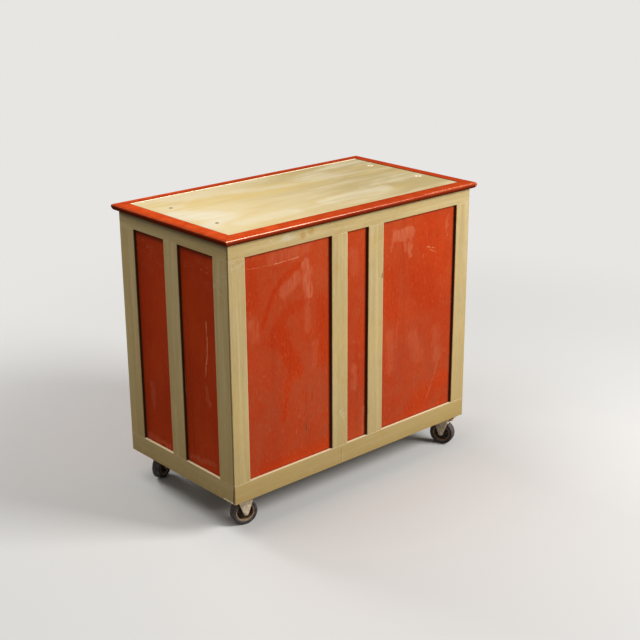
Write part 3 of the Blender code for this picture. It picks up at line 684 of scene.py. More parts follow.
def hole_marks(shader):
    """Screw holes painted dark as shade, with paint chipped off round those at one end and a stain round the
    others.
    """
    chips = shader.clouds(220.0, detail=2.0).span(0.30, 0.42)
    sunk = shader.z.span(TOP_LEVEL - 0.0001, TOP_LEVEL - 0.0008)
    for x, y in TOP_HOLES:
        middle = on_top(x, y)
        if x < 0:
            shader.coat(shader.spot(middle, 0.0092, 0.0030) * chips, CHIP)
            dark = 0.0032
        else:
            shader.coat(shader.spot(middle, 0.0050, 0.0050, 0.5), CREAM_STAIN)
            dark = 0.0044
        # Painted shade over each countersink, and down in the hole
        shader.coat(shader.spot(middle, dark, 0.0016), SHADE_AND_GRIME)
        shader.coat(shader.spot(middle, 0.015, 0.003) * sunk, SHADE_AND_GRIME)


def top_paint(name):
    """Cream top, brushed lengthwise, with painted light that leaves it palest at one end and greyer at the
    other.
    """
    shader = Shader(name)
    brush = shader.streaks("X", 0.22, 0.006, detail=4.0, rough=0.62)
    streak = shader.streaks("X", 0.28, 0.030, detail=5.0, rough=0.6)
    wide = shader.streaks("X", 0.45, 0.13, detail=4.0, twist=0.6)
    brushed = streak.span(0.30, 0.62)
    # Painted light: greyer at one end and palest at the other
    shader.colour = TOP_DIM
    shader.coat((shader.x + wide * 0.50).span(-0.10, 0.66), TOP_PALE)
    shader.coat(wide.span(0.42, 0.62, 0.62) * brushed, COOL_WHITE)
    shader.coat(streak.span(0.48, 0.70, 0.70) * wide.span(0.58, 0.42), TOP_YELLOW)
    shader.coat(trails(shader, TOP_YELLOWS, on_top, 0.030, 9.0) * brushed, TOP_YELLOW)
    shader.coat(trails(shader, TOP_WHITES, on_top, 0.030, 9.0) * brushed.between(0.5, 1.0), TOP_WHITE)
    shader.coat(brush.span(0.56, 0.82, 0.16), CREAM_DEEP)
    hole_marks(shader)
    shader.rough = brush.between(0.62, 0.80)
    shader.height = brush * 0.7 + streak * 0.3
    worn_edges(shader, PRIMER, 0.0020, -0.06)
    return shader.close(0.0004)


# Bare wood
def wood_layers(shader, along):
    """Bare softwood with growth rings, aged and handled."""
    rings = shader.streaks(along, 0.55, 0.014, detail=5.0, rough=0.5, twist=0.8)
    fibre = shader.streaks(along, 0.05, 0.0012)
    shader.colour = RAW_WOOD
    shader.coat(rings.span(0.38, 0.66), RAW_DEEP)
    shader.coat(fibre.span(0.50, 0.80, 0.35), RAW_DEEP)
    shader.coat(shader.clouds(9.0, detail=4.0).span(0.50, 0.80, 0.35), CREAM_STAIN)
    shader.rough = fibre.between(0.60, 0.80)
    shader.height = rings * 0.5 + fibre * 0.5


def grid_wood(name, along):
    """Shelves, partitions and the bottom: bare wood with a painted front edge."""
    shader = Shader(name)
    wood_layers(shader, along)
    drips = shader.clouds(60.0) * 0.010
    shader.cover((shader.y - drips).span(0.0020 - BODY_Y, 0.0002 - BODY_Y), cream_layers, along)
    # Painted shade in corners and crevices
    shader.coat(shader.nook(0.015, 0.5), SHADE_AND_GRIME)
    return shader.close(0.0005)


def box_wood(name, along):
    """Drawer sides, back and bottom, with red brushed past the front."""
    shader = Shader(name)
    wood_layers(shader, along)
    worn_edges(shader, RAW_DEEP, 0.0020, 0.0)
    past = shader.y - shader.streaks("Z", 0.03, 0.008, detail=4.0) * 0.016
    shader.coat(past.span(FRONT_BACK - 0.004, FRONT_BACK - 0.008, 0.85), RED_DEEP)
    # Painted shade in corners and crevices
    shader.coat(shader.nook(0.010, 0.45), SHADE_AND_GRIME)
    return shader.close(0.0005)


# Red paint
def red_layers(shader, along, chalk=0.30):
    """Brushed red paint, with a share of chalky threads."""
    brush = shader.streaks(along, 0.16, 0.005, detail=4.0, rough=0.62)
    grain = shader.streaks(along, 0.45, 0.022, detail=5.0, twist=0.4)
    thread = shader.streaks(along, 0.016, 0.0042, detail=4.0, rough=0.68, twist=0.8)
    shader.colour = RED
    shader.coat(shader.clouds(4.2, detail=2.0).span(0.35, 0.68), RED_BRIGHT)
    shader.coat(grain.span(0.48, 0.80, 0.45), RED_DEEP)
    shader.coat(brush.span(0.58, 0.82, 0.25), RED_DEEP)
    shader.coat(thread.span(0.50, 0.66, 0.60), RED_DEEP)
    shader.coat(thread.span(0.42, 0.33, chalk), SMEAR)
    shader.rough = shader.clouds(14.0, detail=6.0, rough=0.62).between(0.46, 0.72)
    shader.height = brush * 0.6 + grain * 0.4


def chalky_haze(shader, along, share):
    """A thin chalky bloom, rubbed about in swirls and drawn out a little along the brush marks."""
    soft = shader.clouds(9.0, detail=7.0, rough=0.76, twist=1.2).span(0.34, 0.66)
    drawn = shader.streaks(along, 0.14, 0.012, detail=5.0, rough=0.75).span(0.34, 0.74, 0.55)
    return (soft.between(0.30, 0.62) + soft * drawn) * share


def fine_scratches(shader):
    """Short fine scratches near the top of the end panels."""
    fine = shader.streaks("Y", 0.030, 0.0045, detail=4.0, rough=0.7, twist=2.2).span(0.54, 0.66, 0.50)
    high = shader.z.span(0.70, 0.79) * shader.z.span(0.845, 0.815)
    return fine * shader.clouds(24.0).span(0.44, 0.62) * (high + 0.10)


def panel_paint(name, marks, depth_axis, level, share):
    """Red panel board: painted outside, bare wood inside, and cream on the front edge of the ends."""
    shader = Shader(name)
    wipes, smears, scratches, drips = marks

    def place(across, up):
        return (across, level, up) if depth_axis == "Y" else (level, across, up)

    red_layers(shader, "Z", share * 0.7)
    haze = chalky_haze(shader, "Z", share) * (1.0 - trails(shader, wipes, place, 0.010, 22.0))
    shader.coat(haze, shader.mix(shader.z.span(0.66, 0.30), CHALK, CHALK_DULL))
    drawn = shader.streaks("Z", 0.06, 0.005, detail=5.0, rough=0.7).span(0.26, 0.66)
    shader.coat(trails(shader, smears, place, 0.016, 45.0) * drawn, SMEAR)
    breaks = shader.clouds(120.0).span(0.36, 0.52)
    shader.coat(trails(shader, scratches, place, 0.003, 40.0) * breaks, SCRATCH)
    if drips:
        shader.coat(trails(shader, drips, place, 0.002, 30.0), SHADE_AND_GRIME)
    # Painted shade in corners and crevices
    shader.coat(shader.nook(0.012, 0.80), SHADE_AND_GRIME)
    depth = level - abs(shader.y if depth_axis == "Y" else shader.x)
    shader.cover(depth.span(0.0010, 0.0020), wood_layers, "Z")
    if depth_axis == "X":
        shader.coat(fine_scratches(shader), SCRATCH)
        # Painted shadow of the top rail across the top of the end panels
        shader.coat(shader.z.span(PANEL_TOP - 0.022, PANEL_TOP - 0.001, 0.80), SHADE_AND_GRIME)
        shader.cover(shader.y.span(0.0010 - BODY_Y, 0.0002 - BODY_Y), cream_layers, "Z")
    return shader.close(0.0005, sheen=0.03)


def front_paint(name):
    """Red drawer front, brushed along its length, handled and rubbed, and bare on the back."""
    shader = Shader(name)
    red_layers(shader, "X")
    shader.coat(chalky_haze(shader, "X", 0.50), CHALK)
    scuff = shader.streaks("X", 0.05, 0.0022, rough=0.6).span(0.62, 0.70, 0.6)
    shader.coat(scuff * shader.clouds(11.0).span(0.54, 0.70), SCRATCH)
    worn_edges(shader, RAW_WOOD, 0.0030, -0.02)
    # Painted shade in corners and crevices
    shader.coat(shader.nook(0.012, 0.6), SHADE_AND_GRIME)
    shader.cover(shader.y.span(FRONT_BACK - 0.0016, FRONT_BACK - 0.0004), wood_layers, "X")
    return shader.close(0.0005)


def far_side_lap(shader, ragged):
    """On the drawer side, red darker beside the top board, and cream lapped onto the inner edge, bright as a
    painted highlight.
    """
    inner = shader.y * -1.0 - EDGE_Y
    near = inner.span(-0.010, -0.002)
    shader.coat(inner.span(0.022, 0.014, 0.70) * near * shader.up.span(0.90, 0.97), EDGE_DEEP)
    shader.coat((inner + ragged * 0.0016).span(0.0042, 0.0028) * near, HIGHLIGHT_CREAM)


def crest_rubs(shader, ragged):
    """Paint rubbed thin along the crest of the long edging's nose, partly as a painted highlight, and off the
    corner at its far end.
    """
    crest = (HALF_TOP_Y - 0.0035, TOP_HIGH - 0.0030)
    rub = shader.stroke((-0.270, *crest), (-0.490, *crest), 0.0010, 0.0030, 0.65)
    shader.coat(rub * ragged.span(0.40, 0.58), SCRATCH)
    tip = shader.spot((-HALF_TOP_X, HALF_TOP_Y, TOP_HIGH - 0.008), 0.0050, 0.0070, 0.55)
    shader.coat(tip * ragged.span(0.34, 0.56), SCRATCH)


def edging_paint(name, along):
    """Orange-red edging with a glossy nose, painted shade away from one end, under the nose and by the top,
    and rubbed pale at its corners.
    """
    shader = Shader(name)
    brush = shader.streaks(along, 0.12, 0.005, detail=4.0, rough=0.6)
    cloud = shader.clouds(22.0, detail=5.0, rough=0.6)
    chips = shader.clouds(150.0, detail=4.0, rough=0.7)
    painted_falloff = (shader.x + cloud * 0.20).span(0.56, 0.02)
    shader.colour = EDGE_RED
    shader.coat(cloud.span(0.35, 0.70), EDGE_BRIGHT)
    shader.coat(brush.span(0.55, 0.80, 0.45), RED_DEEP)
    # Painted falloff: darker away from one end
    shader.coat(painted_falloff * 0.55, EDGE_DEEP)
    corner = (abs(shader.x) - HALF_TOP_X) + (abs(shader.y) - HALF_TOP_Y)
    shader.coat((corner.span(-0.040, -0.004) + chips * 1.4).span(1.56, 1.74, 0.7), CHALK)
    shader.coat(chips.span(0.66, 0.74, 0.8) * shader.edge(0.004), PRIMER)
    inner = shader.y - EDGE_Y if along == "X" else abs(shader.x) - EDGE_X
    # Painted shade along the inner edge, beside the top board
    shader.coat(inner.span(0.0030, 0.0012, 0.65) * inner.span(-0.010, -0.002), SHADE_AND_GRIME)
    if along == "X":
        far_side_lap(shader, chips)
        # Painted shade on the underside of the nose
        shader.coat(shader.up.span(0.25, -0.45, 0.80), EDGE_SHADE)
        crest_rubs(shader, chips)
        gloss = painted_falloff.between(0.95, 0.45)
    else:
        # Painted shade over the lower part of the nose
        shader.coat(shader.up.span(0.75, 0.05, 0.85), EDGE_SHADE)
        gloss = painted_falloff.between(0.05, 0.30)
    shader.rough = cloud.between(0.10, 0.24)
    shader.height = brush + cloud * 0.5
    shader.put(shader.surface.inputs["Specular Tint"], EDGE_GLOSS)
    nose = shader.up.span(0.80, 0.60) * shader.up.span(0.20, 0.36)
    return shader.close(0.0002, sheen=nose * gloss)


# Metal and rubber
def plated_steel(name, base, bright, metal, rust, splashes):
    """Dull plated steel with rust in its nooks and splashes of paint."""
    shader = Shader(name)
    cloud = shader.clouds(80.0, detail=6.0, rough=0.72)
    fine = shader.clouds(520.0)
    rusty = (shader.nook(0.004) + cloud * 1.1).span(1.02 - rust, 1.30 - rust)
    splash = shader.clouds(170.0).span(0.60, 0.66, splashes)
    covered = rusty | splash
    shader.colour = base
    shader.coat(cloud.span(0.35, 0.68), bright)
    shader.coat(rusty * 0.85, RUST)
    shader.coat(splash, CHIP)
    shader.coat(shader.edge(0.0012) * 0.4, bright)
    shader.put(shader.surface.inputs["Metallic"], covered.between(metal, 0.05))
    shader.rough = covered.between(0.42, 0.75) + fine * 0.14
    shader.height = cloud + fine * 0.5
    return shader.close(0.0003, sheen=0.25)


def tyre_rubber(name):
    """Dusty dark rubber, rubbed brown on its edges and tread."""
    shader = Shader(name)
    cloud = shader.clouds(70.0, detail=5.0, rough=0.65)
    fine = shader.clouds(600.0)
    grey = cloud.span(0.30, 0.70)
    shader.colour = RUBBER_DARK
    shader.coat(grey, RUBBER_GREY)
    shader.coat(grey * fine.span(0.25, 0.65, 0.36), DUST)
    shader.coat(shader.edge(0.003) * cloud.span(0.3, 0.6, 0.75), DUST)
    shader.rough = cloud.between(0.55, 0.88)
    shader.height = cloud + fine
    return shader.close(0.0004, sheen=0.3)


def wheel_iron(name, dark, tan, rust):
    """Cast wheel centre: dark paint gone to a rusty tan, most on its edges, with painted shade in its
    crevices.
    """
    shader = Shader(name)
    cloud = shader.clouds(140.0, detail=6.0, rough=0.7)
    fine = shader.clouds(420.0, detail=4.0, rough=0.7)
    shader.colour = dark
    shader.coat(cloud.span(0.35, 0.70), tan)
    shader.coat((shader.edge(0.0030) + cloud * 0.9).span(0.50, 0.85, rust), RUST_PALE)
    shader.coat(fine.span(0.56, 0.66, 0.6), RUST)
    # Painted shade in crevices
    shader.coat(shader.nook(0.008, 0.6), CREVICE_SHADE)
    shader.rough = cloud.between(0.55, 0.85)
    shader.height = cloud + fine
    return shader.close(0.0005, sheen=0.25)


# Meshes
def moved(x, y, z):
    return Matrix.Translation((x, y, z))


def spun(angle, axis):
    return Matrix.Rotation(angle, 4, axis)


def add_skin(bm, rows, matrix, wrap=False, capped=False):
    """Faces between rows of points, which may wrap round to the first row or be capped at both ends."""
    made = [[bm.verts.new(matrix @ point) for point in row] for row in rows]
    following = made[1:] + made[:1] if wrap else made[1:]
    for lower, upper in zip(made, following):
        for index in range(len(lower) - 1):
            bm.faces.new((lower[index], lower[index + 1], upper[index + 1], upper[index]))
    if capped:
        bm.faces.new(made[0][:-1])
        bm.faces.new(made[-1][:-1])


def add_turned(bm, profile, matrix, steps=TURN_STEPS):
    """Turn a closed outline of (radius, height) about Z, then place it."""
    rows = []
    for step in range(steps):
        angle = 2 * math.pi * step / steps
        across, along = math.cos(angle), math.sin(angle)
        points = [Vector((radius * across, radius * along, height)) for radius, height in profile]
        rows.append(points + points[:1])
    add_skin(bm, rows, matrix, wrap=True)


def add_board(bm, low, high, ease):
    """A board with eased edges."""
    low, high = Vector(low), Vector(high)
    place = Matrix.Translation((low + high) / 2) @ Matrix.Diagonal((*(high - low), 1.0))
    corners = bmesh.ops.create_cube(bm, size=1.0, matrix=place)["verts"]
    edges = dict.fromkeys(edge for corner in corners for edge in corner.link_edges)
    bmesh.ops.bevel(bm, geom=list(edges), offset=ease, segments=3, profile=0.5, affect="EDGES")


def arc(centre, radius, start, end, steps=CORNER_STEPS):
    """Points on an arc, with its ends in degrees."""
    points = []
    for step in range(steps + 1):
        angle = math.radians(start + (end - start) * step / steps)
        points.append((centre[0] + radius * math.cos(angle), centre[1] + radius * math.sin(angle)))
    return points


def hole_outline(centre, radius, steps):
    return arc(centre, radius, 360 - 360 / steps, 0, steps - 1)


def mirrored(half):
    """A closed outline from the half of it above the first axis."""
    return half + [(along, -up) for along, up in reversed(half)]


def linked(name, data):
    """A new object in the scene."""
    obj = bpy.data.objects.new(name, data)
    bpy.context.scene.collection.objects.link(obj)
    return obj


def as_mesh(name, bm):
    """A mesh from a working one, which is used up: meeting points joined, and all faces turned outward."""
    bmesh.ops.remove_doubles(bm, verts=bm.verts, dist=WELD_DISTANCE)
    bmesh.ops.dissolve_degenerate(bm, edges=bm.edges, dist=WELD_DISTANCE)
    bmesh.ops.recalc_face_normals(bm, faces=bm.faces)
    mesh = bpy.data.meshes.new(name)
    bm.to_mesh(mesh)
    bm.free()
    return mesh


def evaluated_mesh(obj):
    return bpy.data.meshes.new_from_object(obj.evaluated_get(bpy.context.evaluated_depsgraph_get()))


def add_mesh(bm, mesh, matrix):
    """Add a mesh, which is used up, in its place."""
    mesh.transform(matrix)
    bm.from_mesh(mesh)
    bpy.data.meshes.remove(mesh)


def add_copy(bm, source, matrix):
    """Add a placed copy of one working mesh to another."""
    mesh = bpy.data.meshes.new("copy")
    source.to_mesh(mesh)
    add_mesh(bm, mesh, matrix)


def add_sheet(bm, outlines, thickness, ease, matrix):
    """A plate from flat outlines, the later ones its holes, with rounded edges and its middle at z = 0."""
    curve = bpy.data.curves.new("sheet", "CURVE")
    curve.dimensions = "2D"
    curve.fill_mode = "BOTH"
    curve.extrude = thickness / 2 - ease
    curve.bevel_depth = ease
    curve.bevel_resolution = 2
    curve.offset = -ease
    for outline in outlines:
        spline = curve.splines.new("POLY")
        spline.points.add(len(outline) - 1)
        for point, (x, y) in zip(spline.points, outline):
            point.co = (x, y, 0.0, 1.0)
        spline.use_cyclic_u = True
    drawn = linked("sheet", curve)
    add_mesh(bm, evaluated_mesh(drawn), matrix)
    bpy.data.objects.remove(drawn)
    bpy.data.curves.remove(curve)


def carved(bm, cutter):
    """A working mesh with another cut out of it, which uses up both."""
    body, tool = [linked("carving", as_mesh("carving", source)) for source in (bm, cutter)]
    cut = body.modifiers.new("cut", "BOOLEAN")
    cut.operation = "DIFFERENCE"
    cut.solver = "EXACT"
    cut.object = tool
    result = bmesh.new()
    add_mesh(result, evaluated_mesh(body), Matrix())
    for obj in (body, tool):
        bpy.data.objects.remove(obj)
    return result


def piece(name, bm, material, body, stands_for, smooth=SMOOTH_BOARDS):
    """Turn a mesh in the row frame into a piece that rides on a body, in place of a node of the frame."""
    mesh = as_mesh(name, bm)
    mesh.polygons.foreach_set("use_smooth", [True] * len(mesh.polygons))
    mesh.set_sharp_from_angle(angle=math.radians(smooth))
    mesh.materials.append(material)
    obj = linked(name, mesh)
    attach(obj, body)
    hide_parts(stands_for)


def dress(node, material):
    """A board of the frame keeps its solid, and gets its paint and a soft arris."""
    obj = NODES[node]
    obj.material_slots[0].material = material
    weld = obj.modifiers.new("weld", "WELD")
    weld.merge_threshold = ARRIS_WELD
    bevel = obj.modifiers.new("arris", "BEVEL")
    bevel.width = ARRIS_WIDTH
    bevel.segments = 2
    bevel.limit_method = "ANGLE"
    bevel.angle_limit = ARRIS_ANGLE


# Top: a board with four screw holes, inside four lengths of edging
def top_board():
    board, holes = bmesh.new(), bmesh.new()
    add_board(board, FIELD_LOW, FIELD_HIGH, TOP_EASE)
    hole = [
        (0.0, -HOLE_DEPTH), (HOLE_RADIUS, -HOLE_DEPTH), (HOLE_RADIUS, -SINK_DEPTH),
        (SINK_RADIUS, CUT_PAST), (0.0, CUT_PAST),
    ]
    for x, y in TOP_HOLES:
        add_turned(holes, hole, moved(*on_top(x, y)), HOLE_STEPS)
    piece("top_board", carved(board, holes), top_paint("top_cream"), ROOT, "top_field")


def nose_section():
    """Outward and upward points of the edging, from its lower inner corner round the nose."""
    inner = EDGING_WIDTH - NOSE_DEPTH
    thickness = TOP_HIGH - TOP_LOW
    lower = thickness - NOSE_DROP
    turns = [math.pi / 2 * step / NOSE_STEPS for step in range(1, NOSE_STEPS + 1)]
    points = [(0.0, 0.0), (inner * 0.5, 0.0), (inner, 0.0)]
    points += [(inner + NOSE_DEPTH * math.sin(turn), lower * (1 - math.cos(turn))) for turn in turns]
    points += [(inner + NOSE_DEPTH * math.cos(turn), lower + NOSE_DROP * math.sin(turn)) for turn in turns]
    points += [(inner * 0.5, thickness), (EDGING_EASE, thickness)]
    points += [(EDGING_EASE * 0.3, thickness - EDGING_EASE * 0.3), (0.0, thickness - EDGING_EASE)]
    return points


def edging_length(side, half_run, inner_face, turn, along):
    """One length of bullnose edging, mitred at both ends and a little uneven, as planed by hand."""
    bm = bmesh.new()
    section = nose_section()
    chance = random.Random(side)
    swing = [chance.uniform(0.0, 2 * math.pi) for _ in EDGING_WAVES]
    rows = []
    for index in range(EDGING_SECTIONS + 1):
        share = 2 * index / EDGING_SECTIONS - 1
        waves = [0.25 + 0.25 * math.sin(wave * share + start) for wave, start in zip(EDGING_WAVES, swing)]
        waver, lean = waves[0] + waves[1], waves[2] + waves[3]
        most = EDGING_WAVER * (1.0 - abs(share) ** 6)
        row = []
        for out, up in section:
            nose = max(0.0, out / EDGING_WIDTH - 0.5) * 2
            reach = out - most * waver * nose
            rise = up - most * lean * nose * (up / (TOP_HIGH - TOP_LOW))
            row.append(Vector((share * (half_run + reach - MITRE_GAP), reach, rise)))
        rows.append(row + row[:1])
    add_skin(bm, rows, spun(turn, "Z") @ moved(0.0, inner_face, TOP_LOW), capped=True)
    piece(f"edging_{side}_bullnose", bm, EDGING_PAINT[along], ROOT, f"edging_{side}")


# Drawers
def drawer(cell):
    """Red front, and a bare wooden box of sides, back and bottom behind it."""
    node, body = f"drawer_{cell}", f"{cell}_drawer"
    low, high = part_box(node)
    rise = low.z - FIT_GAP
    face_back = low.y + FRONT_THICKNESS
    back = high.y - SIDE_THICKNESS
    top = high.z - BOX_DROP
    floor = rise + BOTTOM_LIFT
    left, right = low.x + BOX_IN, high.x - BOX_IN
    inner_left, inner_right = left + SIDE_THICKNESS + FIT_GAP, right - SIDE_THICKNESS - FIT_GAP
    front, sides, across = bmesh.new(), bmesh.new(), bmesh.new()
    add_board(front, (low.x, low.y, rise + REVEAL), (high.x, face_back, high.z), FRONT_EASE)
    for x in (left, right - SIDE_THICKNESS):
        add_board(sides, (x, face_back, low.z), (x + SIDE_THICKNESS, high.y, top), BOX_EASE)
    add_board(across, (inner_left, back, low.z), (inner_right, high.y, top), BOX_EASE)
    add_board(across, (inner_left, face_back, floor), (inner_right, back, floor + BOTTOM_THICKNESS), BOX_EASE)
    parts = (("front", front, FRONT_PAINT), ("sides", sides, BOX_SIDES), ("back", across, BOX_ACROSS))
    for part, bm, paint in parts:
        piece(f"{node}_{part}", bm, paint, body, node)


def screw_head(radius, height):
    """A domed slotted screw head, standing on z = 0."""
    dome, slot = bmesh.new(), bmesh.new()
    profile = [(0.0, -SCREW_SUNK), (radius, -SCREW_SUNK)]
    profile += [(radius * math.cos(turn), height * math.sin(turn)) for turn in DOME_TURNS]
    add_turned(dome, profile + [(0.0, height)], Matrix(), SCREW_STEPS)
    half_slot = radius * 0.16
    add_board(slot, (-2 * radius, -half_slot, height * 0.45), (2 * radius, half_slot, height * 2), SLOT_EASE)
    return carved(dome, slot)


def half_ellipse(across, up):
    return [(across * math.cos(turn), up * math.sin(turn)) for turn in PULL_TURNS]


def half_ellipsoid(across, out, up):
    """Rows of points over a quarter of an ellipsoid, from one end to the other."""
    rises = [math.pi / 2 * step / PULL_RISE for step in range(PULL_RISE + 1)]
    rows = []
    for x, width in half_ellipse(across, 1.0):
        points = [(x, -out * width * math.cos(rise), up * width * math.sin(rise)) for rise in rises]
        rows.append([Vector(point) for point in points])
    return rows


def lip_rings():
    """Rings of points along the rolled lip of a cup."""
    angles = [2 * math.pi * step / LIP_STEPS for step in range(LIP_STEPS + 1)]
    rings = []
    for along, out in half_ellipse(1.0, 1.0):
        centre = Vector(((PULL_HALF - LIP_RADIUS) * along, -(PULL_OUT - LIP_RADIUS) * out, LIP_RADIUS))
        outward = Vector((along / PULL_HALF, -out / PULL_OUT, 0.0)).normalized()
        ways = [math.cos(angle) * outward + Vector((0.0, 0.0, math.sin(angle))) for angle in angles]
        rings.append([centre + LIP_RADIUS * way for way in ways])
    return rings


def cup_pull(cell, screw):
    """Pressed cup with a rolled lip, a flange and two screws."""
    node = f"pull_{cell}"
    low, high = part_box(node)
    home = moved((low.x + high.x) / 2, high.y, low.z)
    bm = bmesh.new()
    outer = half_ellipsoid(PULL_HALF, PULL_OUT, PULL_UP)
    inner = half_ellipsoid(PULL_HALF - PULL_WALL, PULL_OUT - PULL_WALL, PULL_UP - PULL_WALL)
    add_skin(bm, [front + back[::-1] + front[:1] for front, back in zip(outer, inner)], home)
    flange = half_ellipse(PULL_HALF + PULL_FLANGE, PULL_UP + PULL_FLANGE)
    flange += reversed(half_ellipse(PULL_HALF * PULL_FLANGE_LAP, PULL_UP * PULL_FLANGE_LAP))
    flat = home @ moved(0.0, -PULL_FLANGE_THICKNESS / 2, 0.0) @ UPRIGHT
    add_sheet(bm, [flange], PULL_FLANGE_THICKNESS, PULL_FLANGE_EASE, flat)
    add_skin(bm, lip_rings(), home, capped=True)
    for turn in SCREW_TURNS:
        across = (PULL_HALF + PULL_FLANGE / 2) * math.cos(turn)
        up = (PULL_UP + PULL_FLANGE / 2) * math.sin(turn)
        seat = home @ moved(across, -PULL_FLANGE_THICKNESS, up) @ UPRIGHT
        add_copy(bm, screw, seat @ spun(turn, "Z"))
    piece(f"{node}_cup", bm, PULL_STEEL, f"{cell}_drawer", node)


# Casters: each is drawn in its own axes, with its trail along X
def caster_home(corner):
    """From the caster's own axes to the row frame."""
    x, y, _ = JOINTS[f"{corner}_swivel"]["pos_m"]
    axle = JOINTS[f"{corner}_roll"]["pos_m"]
    return moved(x, y, 0.0) @ spun(math.atan2(axle[1] - y, axle[0] - x), "Z")


def axle_home(corner):
    """From axes with Z along the axle to the row frame."""
    return caster_home(corner) @ moved(TRAIL, 0.0, WHEEL_RADIUS) @ ACROSS


def steel_piece(node, kind, bm, body):
    piece(f"{node}_{kind}", bm, ZINC, body, node, SMOOTH_STEEL)


def add_bolt(bm, seat, spin, washer, across_flats, height):
    """A hexagon head with its rim turned off, on a washer of two radii and a thickness that lies on z = 0."""
    inner, outer, thick = washer
    ease = thick * 0.25
    ring = [
        (inner, 0.0), (outer - ease, 0.0), (outer, ease), (outer, thick - ease), (outer - ease, thick),
        (inner, thick),
    ]
    add_turned(bm, ring, seat, RIVET_STEPS)
    radius = across_flats / math.sqrt(3)
    head = [(0.0, 0.0), (radius, 0.0), (radius, height * 0.72), (radius * 0.86, height), (0.0, height)]
    add_turned(bm, head, seat @ moved(0.0, 0.0, thick - BOLT_SINK) @ spun(spin, "Z"), 6)


def caster_plate(corner):
    """Bolted plate with the upper half of the ball race and the kingpin rivet."""
    x, y, _ = JOINTS[f"{corner}_swivel"]["pos_m"]
    home = moved(x, y, 0.0)
    bm = bmesh.new()
    inner_x, inner_y = PLATE_HALF_X - PLATE_CORNER, PLATE_HALF_Y - PLATE_CORNER
    half = arc((inner_x, inner_y), PLATE_CORNER, 0, 90) + arc((-inner_x, inner_y), PLATE_CORNER, 90, 180)
    level = home @ moved(0.0, 0.0, (PLATE_LOW + PLATE_HIGH) / 2)
    add_sheet(bm, [mirrored(half)], PLATE_HIGH - PLATE_LOW, PLATE_EASE, level)
    add_turned(bm, UPPER_RACE, home)
    add_turned(bm, RIVET, home, RIVET_STEPS)
    for across in (-1, 1):
        for along in (-1, 1):
            bolt = moved(across * (PLATE_HALF_X - BOLT_INSET), along * (PLATE_HALF_Y - BOLT_INSET), PLATE_LOW)
            seat = home @ bolt @ spun(math.pi, "X")
            add_bolt(bm, seat, 0.4 * across + along, **PLATE_BOLT)
    steel_piece(f"caster_plate_{corner}", "bolted", bm, ROOT)


def leg_outline():
    """Tapered leg in the plane of the wheel: along the trail, and up."""
    lean = math.degrees(math.atan2(LEG_HALF - EYE_RADIUS, CROWN_HIGH - WHEEL_RADIUS))
    high = CROWN_HIGH - LEG_TOP_GAP - LEG_SHOULDER
    far = LEG_HALF - LEG_SHOULDER
    points = arc((TRAIL + far, high), LEG_SHOULDER, -lean, 90)
    points += arc((TRAIL - far, high), LEG_SHOULDER, 90, 180 + lean)
    return points + arc((TRAIL, WHEEL_RADIUS), EYE_RADIUS, 180 + lean, 360 - lean, EYE_STEPS)


def crown_outline():
    """Flat of the fork over the wheel, rounded more at its back."""
    front = arc((CROWN_FRONT - FRONT_ROUND, CROWN_HALF - FRONT_ROUND), FRONT_ROUND, 0, 90)
    back = arc((CROWN_BACK + BACK_ROUND, CROWN_HALF - BACK_ROUND), BACK_ROUND, 90, 180, BACK_STEPS)
    return mirrored(front + back)


def caster_fork(corner):
    """Pressed fork with the lower half of the race, and the axle bolt with its nut."""
    home, axle = caster_home(corner), axle_home(corner)
    bm = bmesh.new()
    for side in (-1, 1):
        leg = home @ moved(0.0, side * (LEG_IN + LEG_OUT) / 2, 0.0) @ UPRIGHT
        add_sheet(bm, [leg_outline()], LEG_OUT - LEG_IN, LEG_EASE, leg)
    hole = hole_outline((0.0, 0.0), KINGPIN_HOLE, AXLE_STEPS)
    level = home @ moved(0.0, 0.0, (CROWN_LOW + CROWN_HIGH) / 2)
    add_sheet(bm, [crown_outline(), hole], CROWN_HIGH - CROWN_LOW, CROWN_EASE, level)
    add_turned(bm, LOWER_RACE, home)
    add_turned(bm, SHAFT, axle, AXLE_STEPS)
    for flip, spin in ((0.0, 0.2), (math.pi, 0.7)):
        add_bolt(bm, axle @ spun(flip, "X") @ moved(0.0, 0.0, AXLE_SEAT), spin, **AXLE_BOLT)
    steel_piece(f"caster_fork_{corner}", "pressed", bm, f"{corner}_fork")


def tyre_side():
    """Half of the tyre's outline, from the rim over the shoulder and a groove to the middle of the tread."""
    side = [(RIM_RADIUS, WHEEL_HALF - 0.0022), (0.0318, WHEEL_HALF - 0.0006), (0.0340, WHEEL_HALF)]
    corner = (WHEEL_HALF - TYRE_SHOULDER, WHEEL_RADIUS - TYRE_SHOULDER)
    side += [(radius, height) for height, radius in arc(corner, TYRE_SHOULDER, 0, 90)]
    side += [(WHEEL_RADIUS, 0.0058), (GROOVE_FLOOR, 0.0054), (GROOVE_FLOOR, 0.0046), (WHEEL_RADIUS, 0.0042)]
    return side


def add_ribs(bm, axle):
    """Ribs on both faces of the web."""
    for rib in range(RIBS):
        for low in (RIB_LOW, -RIB_HIGH):
            bead = bmesh.new()
            high = low + RIB_HIGH - RIB_LOW
            add_board(bead, (HUB_RADIUS, -RIB_HALF, low), (RIB_END, RIB_HALF, high), RIB_EASE)
            add_copy(bm, bead, axle @ spun(2 * math.pi * rib / RIBS, "Z"))
            bead.free()


def caster_wheel(corner):
    """Rubber tyre on a cast centre with a rim, a web and a hub."""
    axle = axle_home(corner)
    node = f"caster_wheel_{corner}"
    parts = (("tyre", tyre_side(), RUBBER), ("rim", RIM_SIDE, WHEEL_RIM), ("centre", CENTRE_SIDE, WHEEL_WEB))
    for part, side, material in parts:
        bm = bmesh.new()
        add_turned(bm, mirrored(side), axle)
        if part == "centre":
            add_ribs(bm, axle)
        piece(f"{node}_{part}", bm, material, f"{corner}_wheel", node)


